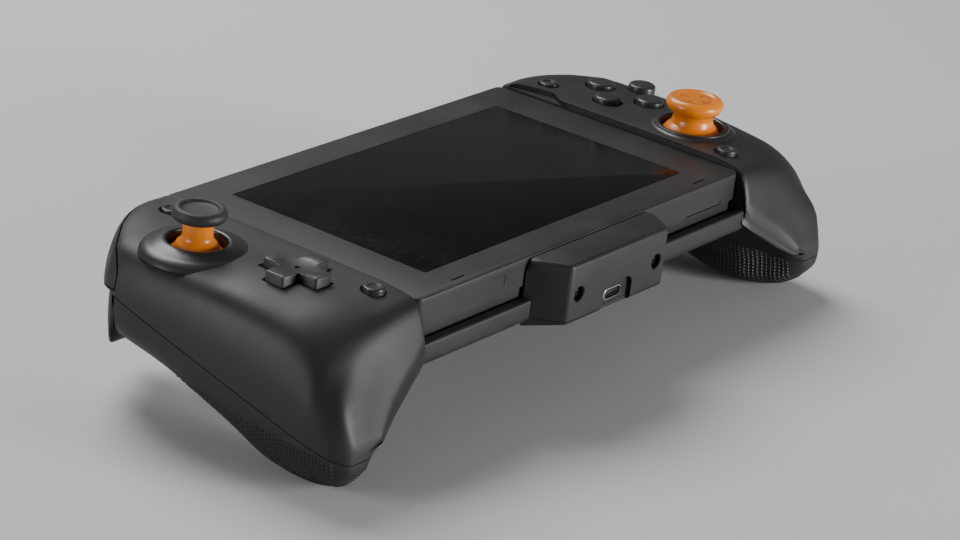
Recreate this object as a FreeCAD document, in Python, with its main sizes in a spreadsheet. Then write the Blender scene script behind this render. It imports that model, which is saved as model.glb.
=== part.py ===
import FreeCAD, Part
import os
from math import cos, radians, sin

from Sketcher import Constraint

# A handheld game console held in a one-piece controller grip.
# +X runs to the right along the screen, +Y towards the console's top edge, +Z out of the screen.
# The origin is the centre of the front face of the screen's glass. Sizes are millimetres.

SIZES = {
    # console, a flat tablet that slides into the grip from its top edge
    "console_length": 173.0, "console_height": 101.6, "console_corner": 3.0,
    "bezel_thick": 1.6, "band_depth": 9.4, "rear_depth": 4.5, "rear_inset": 0.8, "console_wall": 1.8,
    "screen_length": 137.3, "screen_height": 77.2, "glass_thick": 0.9, "glass_gap": 0.15,
    "panel_thick": 1.4, "panel_margin": 2.5, "shield_thick": 0.5, "board_thick": 1.0,
    "battery_length": 62.0, "battery_height": 44.0, "battery_thick": 4.2,
    "fan_radius": 14.0, "fan_thick": 4.2, "fan_x": 38.0, "fan_y": 24.0,
    "speaker_length": 16.0, "speaker_height": 7.0, "speaker_x": 66.0,
    "rail_length": 84.0, "rail_width": 6.4, "rail_depth": 1.2,
    "power_x": -66.0, "power_radius": 3.2,
    "rocker_x": -50.0, "rocker_length": 15.0, "rocker_width": 3.2,
    "door_x": 52.0, "door_length": 36.0, "door_width": 5.0, "door_thick": 1.2,
    "edge_key_depth": 4.0, "edge_key_proud": 0.7,
    # plug of the grip inside the console's socket
    "port_length": 9.0, "port_width": 3.2, "socket_shell": 0.35, "plug_length": 8.2, "plug_width": 2.4,
    "plug_reach": 6.2, "plug_base": 7.0, "socket_depth": 7.4,
    # tray behind the console
    "tray_gap": 1.9, "tray_thick": 5.2, "tray_wall": 1.6, "tray_overhang": 0.9, "tray_top": 47.0,
    "lip_front": 54.6, "lip_back": 51.2, "lip_top": 12.9, "lip_round": 3.0, "lip_edge": 0.8,
    "ribbon_width": 16.0, "ribbon_thick": 0.3,
    # clasp block in the middle of the bottom edge
    "block_front": 63.6, "block_back": 51.4, "block_half": 26.0, "block_root": 33.6, "block_shoulder": 31.6,
    "block_top": 0.5, "block_split": 19.4, "block_floor": 23.0, "block_toe": 20.6, "block_wall": 1.8,
    "block_bevel": 2.8, "well_x": 21.0, "well_radius": 2.5, "well_deep": 3.0, "well_z": 11.2,
    "dock_length": 16.0, "dock_top": 12.0, "dock_deep": 1.5, "dock_corner": 3.0, "port_z": 16.7,
    # grip handles
    "side_gap": 0.4, "shell_wall": 2.2, "lip_rise": 2.2, "seam_y": 33.0, "seam_z": 12.0, "seam_slope": 0.253,
    "seam_gap": 0.15,
    "bumper_gap": 0.8, "bumper_low": 11.5,
    # triggers at the back of the shoulders
    "trigger_in": 97.0, "trigger_pin_y": 37.0, "trigger_pin_z": 15.5, "trigger_pin_radius": 1.2,
    "pin_play": 0.06, "trigger_gap": 0.6, "spring_radius": 2.4, "spring_wire": 0.5, "spring_length": 7.0,
    # thumbsticks
    "stick_x": 111.5, "stick_y": 14.5, "lower_x": 104.5, "lower_y": 18.7, "stick_pivot": 6.0,
    "left_hole": 9.15, "right_hole": 10.85, "dome_gap": 0.45, "dome_wall": 1.2,
    "module_half": 8.2, "module_deep": 12.5, "spindle_radius": 1.9, "collar_outer": 14.2, "ring_outer": 13.5,
    # crosspad
    "pad_span": 21.0, "pad_arm": 7.2, "pad_proud": 2.9, "pad_gap": 0.6, "pad_flange": 10.6, "pad_sink": 6.0,
    "pad_disc": 9.0,
    # push buttons
    "face_radius": 4.85, "face_pitch": 10.5, "face_proud": 2.2,
    "small_radius": 3.4, "small_proud": 1.0, "button_gap": 0.3, "flange_extra": 0.7,
    "face_sink": 6.6, "small_sink": 6.8, "flange_thick": 0.9,
    "plus_x": 97.5, "plus_y": 37.5, "home_x": 94.4, "home_y": 39.9,
    # inside the handles
    "control_board_z": 10.2, "control_board_thick": 1.2, "membrane_thick": 0.8,
    "motor_radius": 4.6, "motor_length": 14.0, "motor_x": 114.0, "motor_y": 39.0, "motor_z": 31.0,
    "shaft_radius": 0.8, "weight_radius": 4.2, "weight_length": 5.0,
    "screw_radius": 1.1, "screw_length": 9.0, "head_radius": 2.1, "head_length": 1.5,
}

doc = FreeCAD.newDocument("console_in_grip")
sheet = doc.addObject("Spreadsheet::Sheet", "Size")
for row, (alias, value) in enumerate(SIZES.items(), start=1):
    sheet.set(f"A{row}", alias)
    sheet.set(f"B{row}", str(value))
    sheet.setAlias(f"B{row}", alias)
doc.recompute()

V = FreeCAD.Vector
TURN = {
    "Z": FreeCAD.Rotation(),
    "X": FreeCAD.Rotation(V(0, 1, 0), 90),
    "Y": FreeCAD.Rotation(V(1, 0, 0), -90),
    "-Y": FreeCAD.Rotation(V(1, 0, 0), 90),
    "-Z": FreeCAD.Rotation(V(1, 0, 0), 180),
}
SIDES = {"left": -1, "right": 1}
finished = []


def size(alias):
    """The value of one cell of the sheet."""
    return float(sheet.get(alias))


def bind(obj, **expressions):
    """Tie an object's properties to expressions over the sheet."""
    for name, text in expressions.items():
        obj.setExpression(name, str(text))
    return obj


def place(obj, x, y, z, turn="Z"):
    """Put an object at a point given by three expressions."""
    obj.Placement = FreeCAD.Placement(V(), TURN[turn])
    for axis, text in zip("xyz", (x, y, z)):
        obj.setExpression(f"Placement.Base.{axis}", str(text))
    return obj


def box(x, y, z, dx, dy, dz):
    """A box from its lowest corner and its three sides."""
    obj = doc.addObject("Part::Box", "box")
    return place(bind(obj, Length=dx, Width=dy, Height=dz), x, y, z)


def cylinder(x, y, z, radius, length, turn="Z"):
    """A cylinder from the centre of its first face, along the named axis."""
    obj = doc.addObject("Part::Cylinder", "cylinder")
    return place(bind(obj, Radius=radius, Height=length), x, y, z, turn)


def fuse(*shapes):
    """The union of several objects."""
    obj = doc.addObject("Part::MultiFuse", "fuse")
    obj.Shapes = list(shapes)
    return obj


def group(*shapes):
    """Separate solids kept side by side in one piece."""
    obj = doc.addObject("Part::Compound", "group")
    obj.Links = list(shapes)
    return obj


def cut(base, *tools):
    """The base less each tool in turn."""
    for tool in tools:
        obj = doc.addObject("Part::Cut", "cut")
        obj.Base = base
        obj.Tool = tool
        base = obj
    return base


def solid(shape):
    """A piece whose outline comes from its own shape function."""
    obj = doc.addObject("Part::Feature", "solid")
    obj.Shape = shape
    obj.Placement = shape.Placement
    return obj


def keep(label, obj):
    """Name a finished piece; the name is its file's name too."""
    for other in doc.Objects:
        if other.Label == label and other is not obj:
            other.Label = label + "_blank"
    obj.Label = label
    finished.append(obj)
    return obj


def sketch_rectangle(body, name, plane_role, offset, length, width, centre=("0", "0")):
    """A dimensioned rectangle on one of the body's origin planes, moved along its normal."""
    sketch = body.newObject("Sketcher::SketchObject", name)
    plane = [p for p in body.Origin.OriginFeatures if p.Role == plane_role][0]
    sketch.AttachmentSupport = [(plane, "")]
    sketch.MapMode = "FlatFace"
    sketch.setExpression("AttachmentOffset.Base.z", str(offset))
    corners = [V(-1, -1, 0), V(1, -1, 0), V(1, 1, 0), V(-1, 1, 0)]
    for i in range(4):
        sketch.addGeometry(Part.LineSegment(corners[i], corners[(i + 1) % 4]), False)
    for i in range(4):
        sketch.addConstraint(Constraint("Coincident", i, 2, (i + 1) % 4, 1))
    for i, kind in enumerate(("Horizontal", "Vertical", "Horizontal", "Vertical")):
        sketch.addConstraint(Constraint(kind, i))
    driven = (
        ("half_left", "DistanceX", 0, 1, f"({length}) / 2 - ({centre[0]})"),
        ("full_length", "DistanceX", 0, 2, f"{length}"),
        ("half_low", "DistanceY", 0, 1, f"({width}) / 2 - ({centre[1]})"),
        ("full_width", "DistanceY", 1, 2, f"{width}"),
    )
    for label, kind, line, end, text in driven:
        if label.startswith("half"):
            index = sketch.addConstraint(Constraint(kind, line, end, -1, 1, 1.0))
        else:
            index = sketch.addConstraint(Constraint(kind, line, 1, line, 2, 2.0))
        sketch.renameConstraint(index, label)
        sketch.setExpression(f"Constraints.{label}", text)
    return sketch


def plate(label, length, width, z_low, thick, corner=None, centre=("0", "0"), window=None):
    """A flat plate as a padded sketch, with rounded upright edges and an optional window."""
    body = doc.addObject("PartDesign::Body", label)
    outline = sketch_rectangle(body, label + "_outline", "XY_Plane", z_low, length, width, centre)
    pad = body.newObject("PartDesign::Pad", label + "_pad")
    pad.Profile = outline
    pad.setExpression("Length", str(thick))
    doc.recompute()
    if corner:
        upright = [f"Edge{i + 1}" for i, e in enumerate(pad.Shape.Edges) if is_upright(e)]
        rounded = body.newObject("PartDesign::Fillet", label + "_corners")
        rounded.Base = (pad, upright)
        rounded.setExpression("Radius", str(corner))
        body.Tip = rounded
        doc.recompute()
    if window:
        hole = sketch_rectangle(body, label + "_window", "XY_Plane", window[2], window[0], window[1], centre)
        before = body.Shape.Volume
        pocket = body.newObject("PartDesign::Pocket", label + "_pocket")
        pocket.Profile = hole
        pocket.setExpression("Length", str(window[3]))
        pocket.Reversed = False
        body.Tip = pocket
        doc.recompute()
        if body.Shape.Volume >= before:
            raise ValueError(label + ": the window cut nothing")
    return body


def is_upright(edge):
    """Whether a straight edge runs along Z."""
    ends = [v.Point for v in edge.Vertexes]
    return len(ends) == 2 and abs(ends[0].x - ends[1].x) + abs(ends[0].y - ends[1].y) < 1e-6


def prism(points, low, high):
    """A flat polygon in the XY plane, raised from one height to another."""
    corners = [V(x, y, low) for x, y in points]
    return Part.Face(Part.makePolygon(corners + corners[:1])).extrude(V(0, 0, high - low))


def side_prism(points, low, high):
    """A polygon of (y, z) points, drawn out along X."""
    corners = [V(low, y, z) for y, z in points]
    return Part.Face(Part.makePolygon(corners + corners[:1])).extrude(V(high - low, 0, 0))


def turned(points, x, y):
    """A closed profile of (radius, z) points turned about an upright axis at x, y."""
    corners = [V(x + r, y, z) for r, z in points]
    face = Part.Face(Part.makePolygon(corners + corners[:1]))
    return face.revolve(V(x, y, 0), V(0, 0, 1), 360)


def mirrored(shape, side):
    """The shape as made for the right side, or its mirror image on the left."""
    return shape if side > 0 else shape.mirror(V(), V(1, 0, 0))


# ---- console: housing, screen and what it holds ----

def console_shells():
    """Bezel, middle band and rear shell: three hollow layers that make the tablet's case."""
    length = "Size.console_length"
    height = "Size.console_height"
    wall = "2 * Size.console_wall"
    opening = ("Size.screen_length + 2 * Size.glass_gap", "Size.screen_height + 2 * Size.glass_gap", "0",
               "Size.bezel_thick")
    bezel = plate("front_bezel", length, height, "-Size.bezel_thick", "Size.bezel_thick",
                  "Size.console_corner", window=opening)
    keep("front_bezel", bezel)
    band = plate("middle_band", length, height, "-Size.band_depth", "Size.band_depth - Size.bezel_thick",
                 "Size.console_corner",
                 window=(f"{length} - {wall} - 2 * Size.rail_depth", f"{height} - {wall}",
                         "-Size.bezel_thick", "Size.band_depth - Size.bezel_thick"))
    rail_slot = ("Size.console_length / 2 - Size.rail_depth", "-Size.rail_length / 2",
                 "-Size.bezel_thick - Size.rail_width - 0.5", "Size.rail_depth", "Size.rail_length",
                 "Size.rail_width")
    right_slot = box(*rail_slot)
    left_slot = box("-Size.console_length / 2", *rail_slot[1:])
    socket_hole = cut(cut(band, right_slot, left_slot), socket_space())
    top = "Size.console_height / 2 - Size.console_wall - Size.edge_key_depth"
    deep = "Size.console_wall + Size.edge_key_depth + 1"
    power_hole = cylinder("Size.power_x", top, "-Size.band_depth / 2 - 0.8", "Size.power_radius + 0.3",
                          deep, "Y")
    rocker_hole = box("Size.rocker_x - Size.rocker_length / 2 - 0.4", top,
                      "-Size.band_depth / 2 - 0.8 - Size.rocker_width / 2 - 0.3",
                      "Size.rocker_length + 0.8", deep, "Size.rocker_width + 0.6")
    door_hole = box("Size.door_x - Size.door_length / 2 - 0.3", top, DOOR_LOW + " - 0.3",
                    "Size.door_length + 0.6", deep, "Size.door_width + 0.6")
    keep("middle_band", cut(socket_hole, power_hole, rocker_hole, door_hole))
    rear = plate("rear_shell", f"{length} - 2 * Size.rear_inset", f"{height} - 2 * Size.rear_inset",
                 "-Size.band_depth - Size.rear_depth", "Size.rear_depth", "Size.console_corner",
                 window=(f"{length} - {wall} - 2 * Size.rear_inset",
                         f"{height} - {wall} - 2 * Size.rear_inset", "-Size.band_depth",
                         "Size.rear_depth - Size.console_wall"))
    keep("rear_shell", rear)


DOOR_LOW = "-Size.band_depth / 2 - 0.8 - Size.door_width / 2"
PORT_Z = "-Size.console_height / 2"
SOCKET_Z = "-5.6"


def slot_bar(x, y, z, length, width, deep):
    """A bar of long round-ended section: the shape of a small plug, drawn out along Y."""
    straight = f"({length}) - ({width})"
    middle = box(f"{x} - ({straight}) / 2", y, f"{z} - ({width}) / 2", straight, deep, width)
    ends = [cylinder(f"{x} {sign} ({straight}) / 2", y, z, f"({width}) / 2", deep, "Y") for sign in "+-"]
    return fuse(middle, *ends)


def socket_space():
    """The room the console's socket takes in its bottom wall."""
    return slot_bar("0", f"{PORT_Z} - 1", SOCKET_Z, "Size.port_length + 2 * Size.socket_shell + 0.1",
                    "Size.port_width + 2 * Size.socket_shell + 0.1", "Size.console_wall + 3")


def console_inside():
    """Glass, display, shield, board, battery, fan, speakers, socket and side rails."""
    glass = plate("display_glass", "Size.screen_length", "Size.screen_height", "-Size.glass_thick",
                  "Size.glass_thick", "1.2")
    keep("display_glass", glass)
    panel_z = "-Size.glass_thick - Size.panel_thick"
    panel = plate("display_panel", "Size.screen_length - 2 * Size.panel_margin",
                  "Size.screen_height - 2 * Size.panel_margin", panel_z, "Size.panel_thick")
    keep("display_panel", panel)
    shield_z = f"{panel_z} - 0.4 - Size.shield_thick"
    shield = plate("inner_shield", "Size.screen_length + 14", "Size.console_height - 12", shield_z,
                   "Size.shield_thick", "Size.console_corner")
    keep("inner_shield", shield)
    board_z = f"{shield_z} - 1.2 - Size.board_thick"
    board = plate("main_board", "72", "Size.console_height - 22", board_z, "Size.board_thick", "2",
                  ("38", "0"))
    keep("main_board", board)
    keep("battery", plate("battery", "Size.battery_length", "Size.battery_height",
                          f"{shield_z} - 0.6 - Size.battery_thick", "Size.battery_thick", "1.5",
                          ("-42", "-6")))
    fan_z = f"{board_z} - Size.fan_thick - 0.2"
    case = cylinder("Size.fan_x", "Size.fan_y", fan_z, "Size.fan_radius", "Size.fan_thick")
    eye = cylinder("Size.fan_x", "Size.fan_y", fan_z, "Size.fan_radius * 0.6", "Size.fan_thick / 2")
    keep("cooling_fan", cut(case, eye))
    speakers = [box(f"{sign}Size.speaker_x - Size.speaker_length / 2", "-Size.console_height / 2 + 3.5",
                    f"{shield_z} - 0.3 - 2.6", "Size.speaker_length", "Size.speaker_height", "2.6")
                for sign in ("", "-")]
    keep("speakers", group(*speakers))
    rails = [box(x, "-Size.rail_length / 2 + 0.2", "-Size.bezel_thick - Size.rail_width - 0.3",
                 "Size.rail_depth - 0.3", "Size.rail_length - 0.4", "Size.rail_width - 0.4")
             for x in ("Size.console_length / 2 - Size.rail_depth", "-Size.console_length / 2 + 0.3")]
    keep("side_rails", group(*rails))
    outer = slot_bar("0", f"{PORT_Z} + 0.1", SOCKET_Z, "Size.port_length + 2 * Size.socket_shell",
                     "Size.port_width + 2 * Size.socket_shell", "Size.socket_depth")
    inner = slot_bar("0", f"{PORT_Z} - 0.5", SOCKET_Z, "Size.port_length", "Size.port_width",
                     "Size.socket_depth")
    keep("console_socket", cut(outer, inner))


def console_keys():
    """Power key, volume rocker and card door in the console's top edge."""
    key_z = "-Size.band_depth / 2 - 0.8"
    top = "Size.console_height / 2"
    stem = cylinder("Size.power_x", f"{top} - Size.console_wall - 1.8", key_z, "Size.power_radius",
                    "Size.console_wall + 1.8 + Size.edge_key_proud", "Y")
    keep("power_key", stem)
    rocker = box("Size.rocker_x - Size.rocker_length / 2", f"{top} - Size.console_wall - 1.4",
                 f"{key_z} - Size.rocker_width / 2", "Size.rocker_length",
                 "Size.console_wall + 1.4 + Size.edge_key_proud", "Size.rocker_width")
    keep("volume_rocker", rocker)
    door = box("Size.door_x - Size.door_length / 2", f"{top} - Size.door_thick", DOOR_LOW, "Size.door_length",
               "Size.door_thick", "Size.door_width")
    tab = box("Size.door_x - Size.door_length / 2 + 2", f"{top} - Size.door_thick - 2", f"{DOOR_LOW} + 0.3",
              "Size.door_length - 4", "2", "0.8")
    keep("card_door", fuse(door, tab))


# ---- tray and clasp block ----

TRAY_Z = "-Size.band_depth - Size.rear_depth - Size.tray_gap"
HANDLE_X = "(Size.console_length / 2 + Size.side_gap)"


def tray():
    """The plate behind the console, hollow on its front side under a thin floor, and its ribbon."""
    low = f"{TRAY_Z} - Size.tray_thick"
    span = f"2 * {HANDLE_X} - 0.1"
    rows = "Size.tray_top + Size.console_height / 2 + Size.tray_overhang"
    middle = "(Size.tray_top - Size.console_height / 2 - Size.tray_overhang) / 2"
    body = plate("rear_tray", span, rows, low, "Size.tray_thick", "1.5", ("0", middle),
                 window=(f"{span} - 4 * Size.tray_wall", f"({rows}) - 4 * Size.tray_wall", TRAY_Z,
                         "Size.tray_thick - Size.tray_wall"))
    block = box("-Size.block_root - 0.1", "-Size.block_front", low, "2 * Size.block_root + 0.2",
                "Size.block_front - Size.block_back + 1", "Size.block_floor")
    keep("rear_tray", cut(fuse(body, solid(tray_lip())), block))
    ribbon = box(f"-{HANDLE_X} + 6", "-4", f"{TRAY_Z} - 1.2", f"2 * {HANDLE_X} - 12", "Size.ribbon_width",
                 "Size.ribbon_thick")
    keep("ribbon_cable", ribbon)


def tray_lip():
    """The bar along the tray's bottom edge, which stands in front of the console's bottom side."""
    front, back, top = -size("lip_front"), -size("lip_back"), -size("lip_top")
    low = -size("band_depth") - size("rear_depth") - size("tray_gap") - size("tray_thick")
    edge, roll = size("lip_edge"), size("lip_round")
    profile = [(back, top), (front + edge, top), (front, top - edge), (front, low + roll),
               (front + 0.3 * roll, low + 0.3 * roll), (front + roll, low), (back, low)]
    reach = size("console_length") / 2 + size("side_gap") - 0.05
    return side_prism(profile, -reach, reach)


def block_blank():
    """The clasp block's outside: a wedge that narrows towards its front and is bevelled at its top."""
    front, back = -size("block_front"), -size("block_back")
    half, root = size("block_half"), size("block_root")
    low = -size("block_floor")
    plan = prism([(-half, front), (half, front), (root, back), (-root, back)], low, -size("block_top"))
    bevel = size("block_bevel")
    top = -size("block_top")
    shoulder = size("block_shoulder")
    ends = [(-root, top - bevel), (-shoulder, top), (shoulder, top), (root, top - bevel), (root, low),
            (-root, low)]
    corners = [V(x, front - 1, z) for x, z in ends]
    profile = Part.Face(Part.makePolygon(corners + corners[:1])).extrude(V(0, back - front + 2, 0))
    toe = side_prism([(front - 1, low - 1), (back + 1, low - 1), (back, low), (front, -size("block_toe"))],
                     -root - 1, root + 1)
    return plan.common(profile).cut(toe)


def dock_recess(extra=0.0):
    """The round-topped recess in the block's front face, around the charging port."""
    front = -size("block_front")
    half = size("dock_length") / 2 + extra
    top = -size("dock_top") + extra
    recess = Part.makeBox(2 * half, size("dock_deep") + extra, size("block_floor"),
                          V(-half, front, top - size("block_floor")))
    edges = [e for e in recess.Edges if abs(e.CenterOfMass.z - top) < 1e-6 and is_along_y(e)]
    return recess.makeFillet(size("dock_corner"), edges)


def is_along_y(edge):
    """Whether a straight edge runs along Y."""
    ends = [v.Point for v in edge.Vertexes]
    return abs(ends[0].x - ends[1].x) + abs(ends[0].z - ends[1].z) < 1e-6


def rod_y(x, y, z, radius, length):
    """A round bar along +Y."""
    return Part.makeCylinder(radius, length, V(x, y, z), V(0, 1, 0))


def clasp_block():
    """Front cover and base of the block, its charging port and the plug that enters the console."""
    front, back = -size("block_front"), -size("block_back")
    wall = size("block_wall")
    blank = block_blank()
    room = Part.makeBox(2 * size("block_half") - 2 * wall - 3, back - front - 2 * wall - size("dock_deep"),
                        size("block_toe") - 2 * wall - size("block_top"),
                        V(-size("block_half") + wall + 1.5, front + wall + size("dock_deep"),
                          -size("block_toe") + wall))
    hollow = blank.cut(room).cut(dock_recess())
    port = slot_shape(0, front - 1, -size("port_z"), size("port_length") + 1.0, size("port_width") + 1.0, 7.2)
    hollow = hollow.cut(port)
    for x in (-size("well_x"), size("well_x")):
        hollow = hollow.cut(rod_y(x, front - 1, -size("well_z"), size("well_radius"), size("well_deep") + 1))
        shank = size("screw_radius") + 0.05
        hollow = hollow.cut(rod_y(x, front, -size("well_z"), shank, back - front - wall))
    plug_hole = slot_shape(0, back - wall - 3, float(SOCKET_Z), size("plug_length") + 0.3,
                           size("plug_width") + 0.3, wall + 4)
    hollow = hollow.cut(plug_hole)
    big = 4 * size("block_root")
    upper = Part.makeBox(big, big, big, V(-big / 2, -big / 2 + front, -size("block_split")))
    cover = hollow.common(upper)
    base = hollow.cut(upper)
    keep("clasp_cover", solid(cover))
    keep("clasp_base", solid(base))
    tongue = slot_bar("0", "-Size.block_back - Size.block_wall", SOCKET_Z, "Size.plug_length",
                      "Size.plug_width", "Size.block_wall + 0.6 + Size.plug_reach")
    overmould = box("-Size.plug_base", "-Size.block_back - Size.block_wall - 3.4", f"{SOCKET_Z} - 2.2",
                    "2 * Size.plug_base", "3.4", "4.4")
    keep("console_plug", fuse(tongue, overmould))
    outer = slot_bar("0", "-Size.block_front + Size.dock_deep", "-Size.port_z",
                     "Size.port_length + 2 * Size.socket_shell", "Size.port_width + 2 * Size.socket_shell",
                     "Size.socket_depth - 3.2")
    inner = slot_bar("0", "-Size.block_front", "-Size.port_z", "Size.port_length", "Size.port_width",
                     "Size.socket_depth - 2.2")
    keep("charging_port", cut(outer, inner))


def slot_shape(x, y, z, length, width, deep):
    """The same round-ended bar as slot_bar, as a plain shape for the block's cuts."""
    straight = length - width
    bar = Part.makeBox(straight, deep, width, V(x - straight / 2, y, z - width / 2))
    for sign in (-1, 1):
        bar = bar.fuse(rod_y(x + sign * straight / 2, y, z, width / 2, deep))
    return bar.removeSplitter()


# ---- grip handles ----

# Stations along a handle, from its top end to its tip:
# y, inner x, outer x, top z, drop of the outer shoulder, hip z, inner grip x, bottom z.
STATIONS = (
    (51.5, 82.0, 97.0, -3.0, 0.0, -10.0, 85.0, -16.0),
    (50.0, 82.0, 103.0, 0.2, 0.0, -13.0, 86.0, -20.0),
    (47.0, 82.0, 111.0, 1.6, 0.0, -16.0, 87.0, -23.0),
    (42.0, 82.0, 120.0, 2.2, 0.0, -19.0, 88.0, -25.5),
    (36.0, 82.0, 127.5, 2.2, 0.0, -20.5, 90.0, -27.5),
    (29.0, 82.0, 131.8, 2.2, 0.0, -21.2, 92.0, -29.5),
    (8.0, 82.0, 132.8, 2.2, 0.0, -21.5, 95.0, -33.5),
    (-16.0, 82.0, 133.0, 2.2, 0.3, -21.5, 98.0, -41.5),
    (-30.0, 82.0, 133.0, 2.0, 1.0, -21.5, 101.0, -47.5),
    (-38.0, 83.0, 133.0, 1.3, 1.6, -21.5, 103.0, -49.2),
    (-44.5, 85.0, 133.0, -0.8, 1.8, -21.8, 105.0, -49.6),
    (-50.5, 89.5, 132.8, -6.5, 1.0, -23.5, 108.0, -49.0),
    (-55.5, 96.0, 132.0, -14.5, -0.5, -27.5, 111.0, -47.2),
    (-59.5, 104.0, 130.5, -22.5, -1.5, -32.0, 114.5, -44.5),
    (-62.5, 112.0, 128.0, -29.5, 0.0, -35.0, 118.0, -41.0),
)


def handle_section(station, inset):
    """One closed outline across the right handle, in from its surface by the inset."""
    y, inner, outer, top, drop, hip, grip, low = station
    inner, grip = inner + inset, grip + inset
    outer, top, low, hip = outer - inset, top - inset, low + inset, hip + inset
    wide = outer - inner
    deep = top - low
    points = (
        (inner, (top + hip) / 2),
        (inner + 0.07 * wide, top - 0.05 * deep),
        (inner + 0.33 * wide, top - 0.15 * drop),
        (inner + 0.64 * wide, top - 0.7 * drop),
        (outer - 0.12 * wide, top - 0.07 * deep - 1.3 * drop),
        (outer - 0.02 * wide, top - 0.3 * deep - 0.8 * drop),
        (outer, top - 0.6 * deep),
        (outer - 0.04 * wide, low + 0.15 * deep),
        (outer - 0.18 * wide, low + 0.02 * deep),
        ((grip + outer) / 2 - 0.04 * wide, low),
        (grip + 0.06 * wide, low + 0.08 * deep),
        (grip, low + 0.45 * (hip - low)),
        (inner + 0.6 * (grip - inner), hip),
    )
    curve = Part.BSplineCurve()
    curve.interpolate(Points=[V(x, y, z) for x, z in points], PeriodicFlag=True)
    return Part.Wire(curve.toShape())


def handle_body(inset):
    """The whole right handle as one smooth solid, in from its surface by the inset."""
    first, last = STATIONS[0][0], STATIONS[-1][0]
    middle, half = (first + last) / 2, (first - last) / 2
    used = STATIONS[2:-2] if inset else STATIONS
    rows = [(middle + (row[0] - middle) * (half - inset) / half,) + row[1:] for row in used]
    return Part.makeLoft([handle_section(row, inset) for row in rows], True)


def bumper_plan(step):
    """The shoulder key's plan outline, its inner edge moved in by a step."""
    inner_edge = [(97.5, 60), (98.5, 49.2), (106.5, 46.2), (115.5, 41.4), (126, 33.8), (131.0, 28), (145, 26)]
    moved = [(x - step * 0.55, y - step * 0.83) for x, y in inner_edge]
    return moved + [(145, 60)]


BUMPER_TOP = 12
FAR = 80


def shoulder_key(hull, side):
    """The shoulder key: the outer wedge of the handle's top corner."""
    zone = prism(bumper_plan(0), -size("bumper_low"), BUMPER_TOP)
    keep(f"bumper_{side}", solid(mirrored(hull.common(zone), SIDES[side])))


TRIGGER_SIDE = ((32.6, -13.4), (48.0, -13.4), (52.0, -16.5), (53.0, -24.0), (51.6, -32.0), (47.6, -37.6),
                (41.0, -38.6), (34.5, -34.0), (32.0, -26.0), (31.6, -15.0))
TRIGGER_PLAN = ((97.0, 31.4), (124.0, 31.4), (126.5, 32.6), (123.5, 36.8), (116.0, 42.4), (108.0, 47.2),
                (97.0, 51.2))
TRIGGER_DEEP = 27.0
TRIGGER_ROOF = 12.4
TRIGGER_TILT = 10
LUG_X, LUG_WIDE = 112.0, 3.0


def trigger(side):
    """The trigger paddle, its bore for the pin and a slot for the shell's lug."""
    plan = prism(TRIGGER_PLAN, -FAR, 0)
    paddle = plan.common(side_prism(TRIGGER_SIDE, size("trigger_in") - 1, FAR * 2))
    slope = Part.makeBox(FAR, FAR, FAR, V(0, 0, -FAR))
    slope.rotate(V(), V(0, 1, 0), -TRIGGER_TILT)
    slope.translate(V(size("trigger_in"), 0, -39.0))
    paddle = paddle.cut(slope)
    pin_y, pin_z = size("trigger_pin_y"), -size("trigger_pin_z")
    bore = Part.makeCylinder(size("trigger_pin_radius") + size("pin_play"), FAR, V(90, pin_y, pin_z),
                             V(1, 0, 0))
    gap = size("trigger_gap")
    slot = Part.makeBox(LUG_WIDE + 2 * gap, 10.6, 12.6, V(LUG_X - gap, 30.0, -24.0))
    blind = Part.makeCylinder(size("spring_radius") + 0.4, 4.0, V(105, 31, -29), V(0, 1, 0))
    shape = paddle.cut(bore).cut(slot).cut(blind)
    keep(f"trigger_{side}", solid(mirrored(shape, SIDES[side])))


def trigger_pins():
    """Steel pins that the triggers turn on."""
    start = size("trigger_in") - size("trigger_gap") - size("shell_wall")
    pins = []
    for side in SIDES.values():
        pin = Part.makeCylinder(size("trigger_pin_radius"), LUG_X + LUG_WIDE - start + 1,
                                V(start + 0.2, size("trigger_pin_y"), -size("trigger_pin_z")), V(1, 0, 0))
        pins.append(mirrored(pin, side))
    keep("trigger_pins", solid(Part.makeCompound(pins)))


def trigger_spring(side):
    """The coil that pushes the trigger back out."""
    radius = size("spring_radius")
    wire = size("spring_wire") / 2
    length = size("spring_length")
    helix = Part.makeHelix(length / 4.5, length, radius)
    section = Part.Wire(Part.makeCircle(wire, V(radius, 0, 0), V(0, 1, 0)))
    coil = Part.Wire(helix).makePipeShell([section], True, True)
    coil.rotate(V(), V(1, 0, 0), -90)
    coil.translate(V(105, TRIGGER_DEEP + wire + 0.1, -29))
    keep(f"trigger_spring_{side}", solid(mirrored(coil, SIDES[side])))


def trigger_room():
    """The pocket in the shell that the trigger swings in."""
    start = size("trigger_in") - size("trigger_gap")
    return Part.makeBox(FAR, FAR, FAR, V(start, TRIGGER_DEEP, -TRIGGER_ROOF - FAR))


def trigger_walls(hull):
    """The pocket's back and side walls and the lug that carries the pin."""
    wall = size("shell_wall")
    start = size("trigger_in") - size("trigger_gap")
    roof = -TRIGGER_ROOF
    back = Part.makeBox(FAR, wall, FAR, V(start - wall, TRIGGER_DEEP - wall, roof - FAR))
    inner = Part.makeBox(wall, FAR, FAR, V(start - wall, TRIGGER_DEEP - wall, roof - FAR))
    walls = hull.common(back.fuse(inner))
    lug = Part.makeBox(LUG_WIDE, 12.8, 5.0, V(LUG_X, TRIGGER_DEEP - 0.5, -size("trigger_pin_z") - 2.6))
    pin = V(0, size("trigger_pin_y"), -size("trigger_pin_z"))
    hole = Part.makeCylinder(size("trigger_pin_radius"), FAR * 2, pin, V(1, 0, 0))
    return walls.fuse(lug).cut(hole)


SCREW_SPOTS = ((94.2, 18.0, -12.5), (116.0, -24.0, -32.0), (125.0, -4.0, -22.0))
SCREW_HEADS = (-19.4, -42.0, -30.5)


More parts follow.
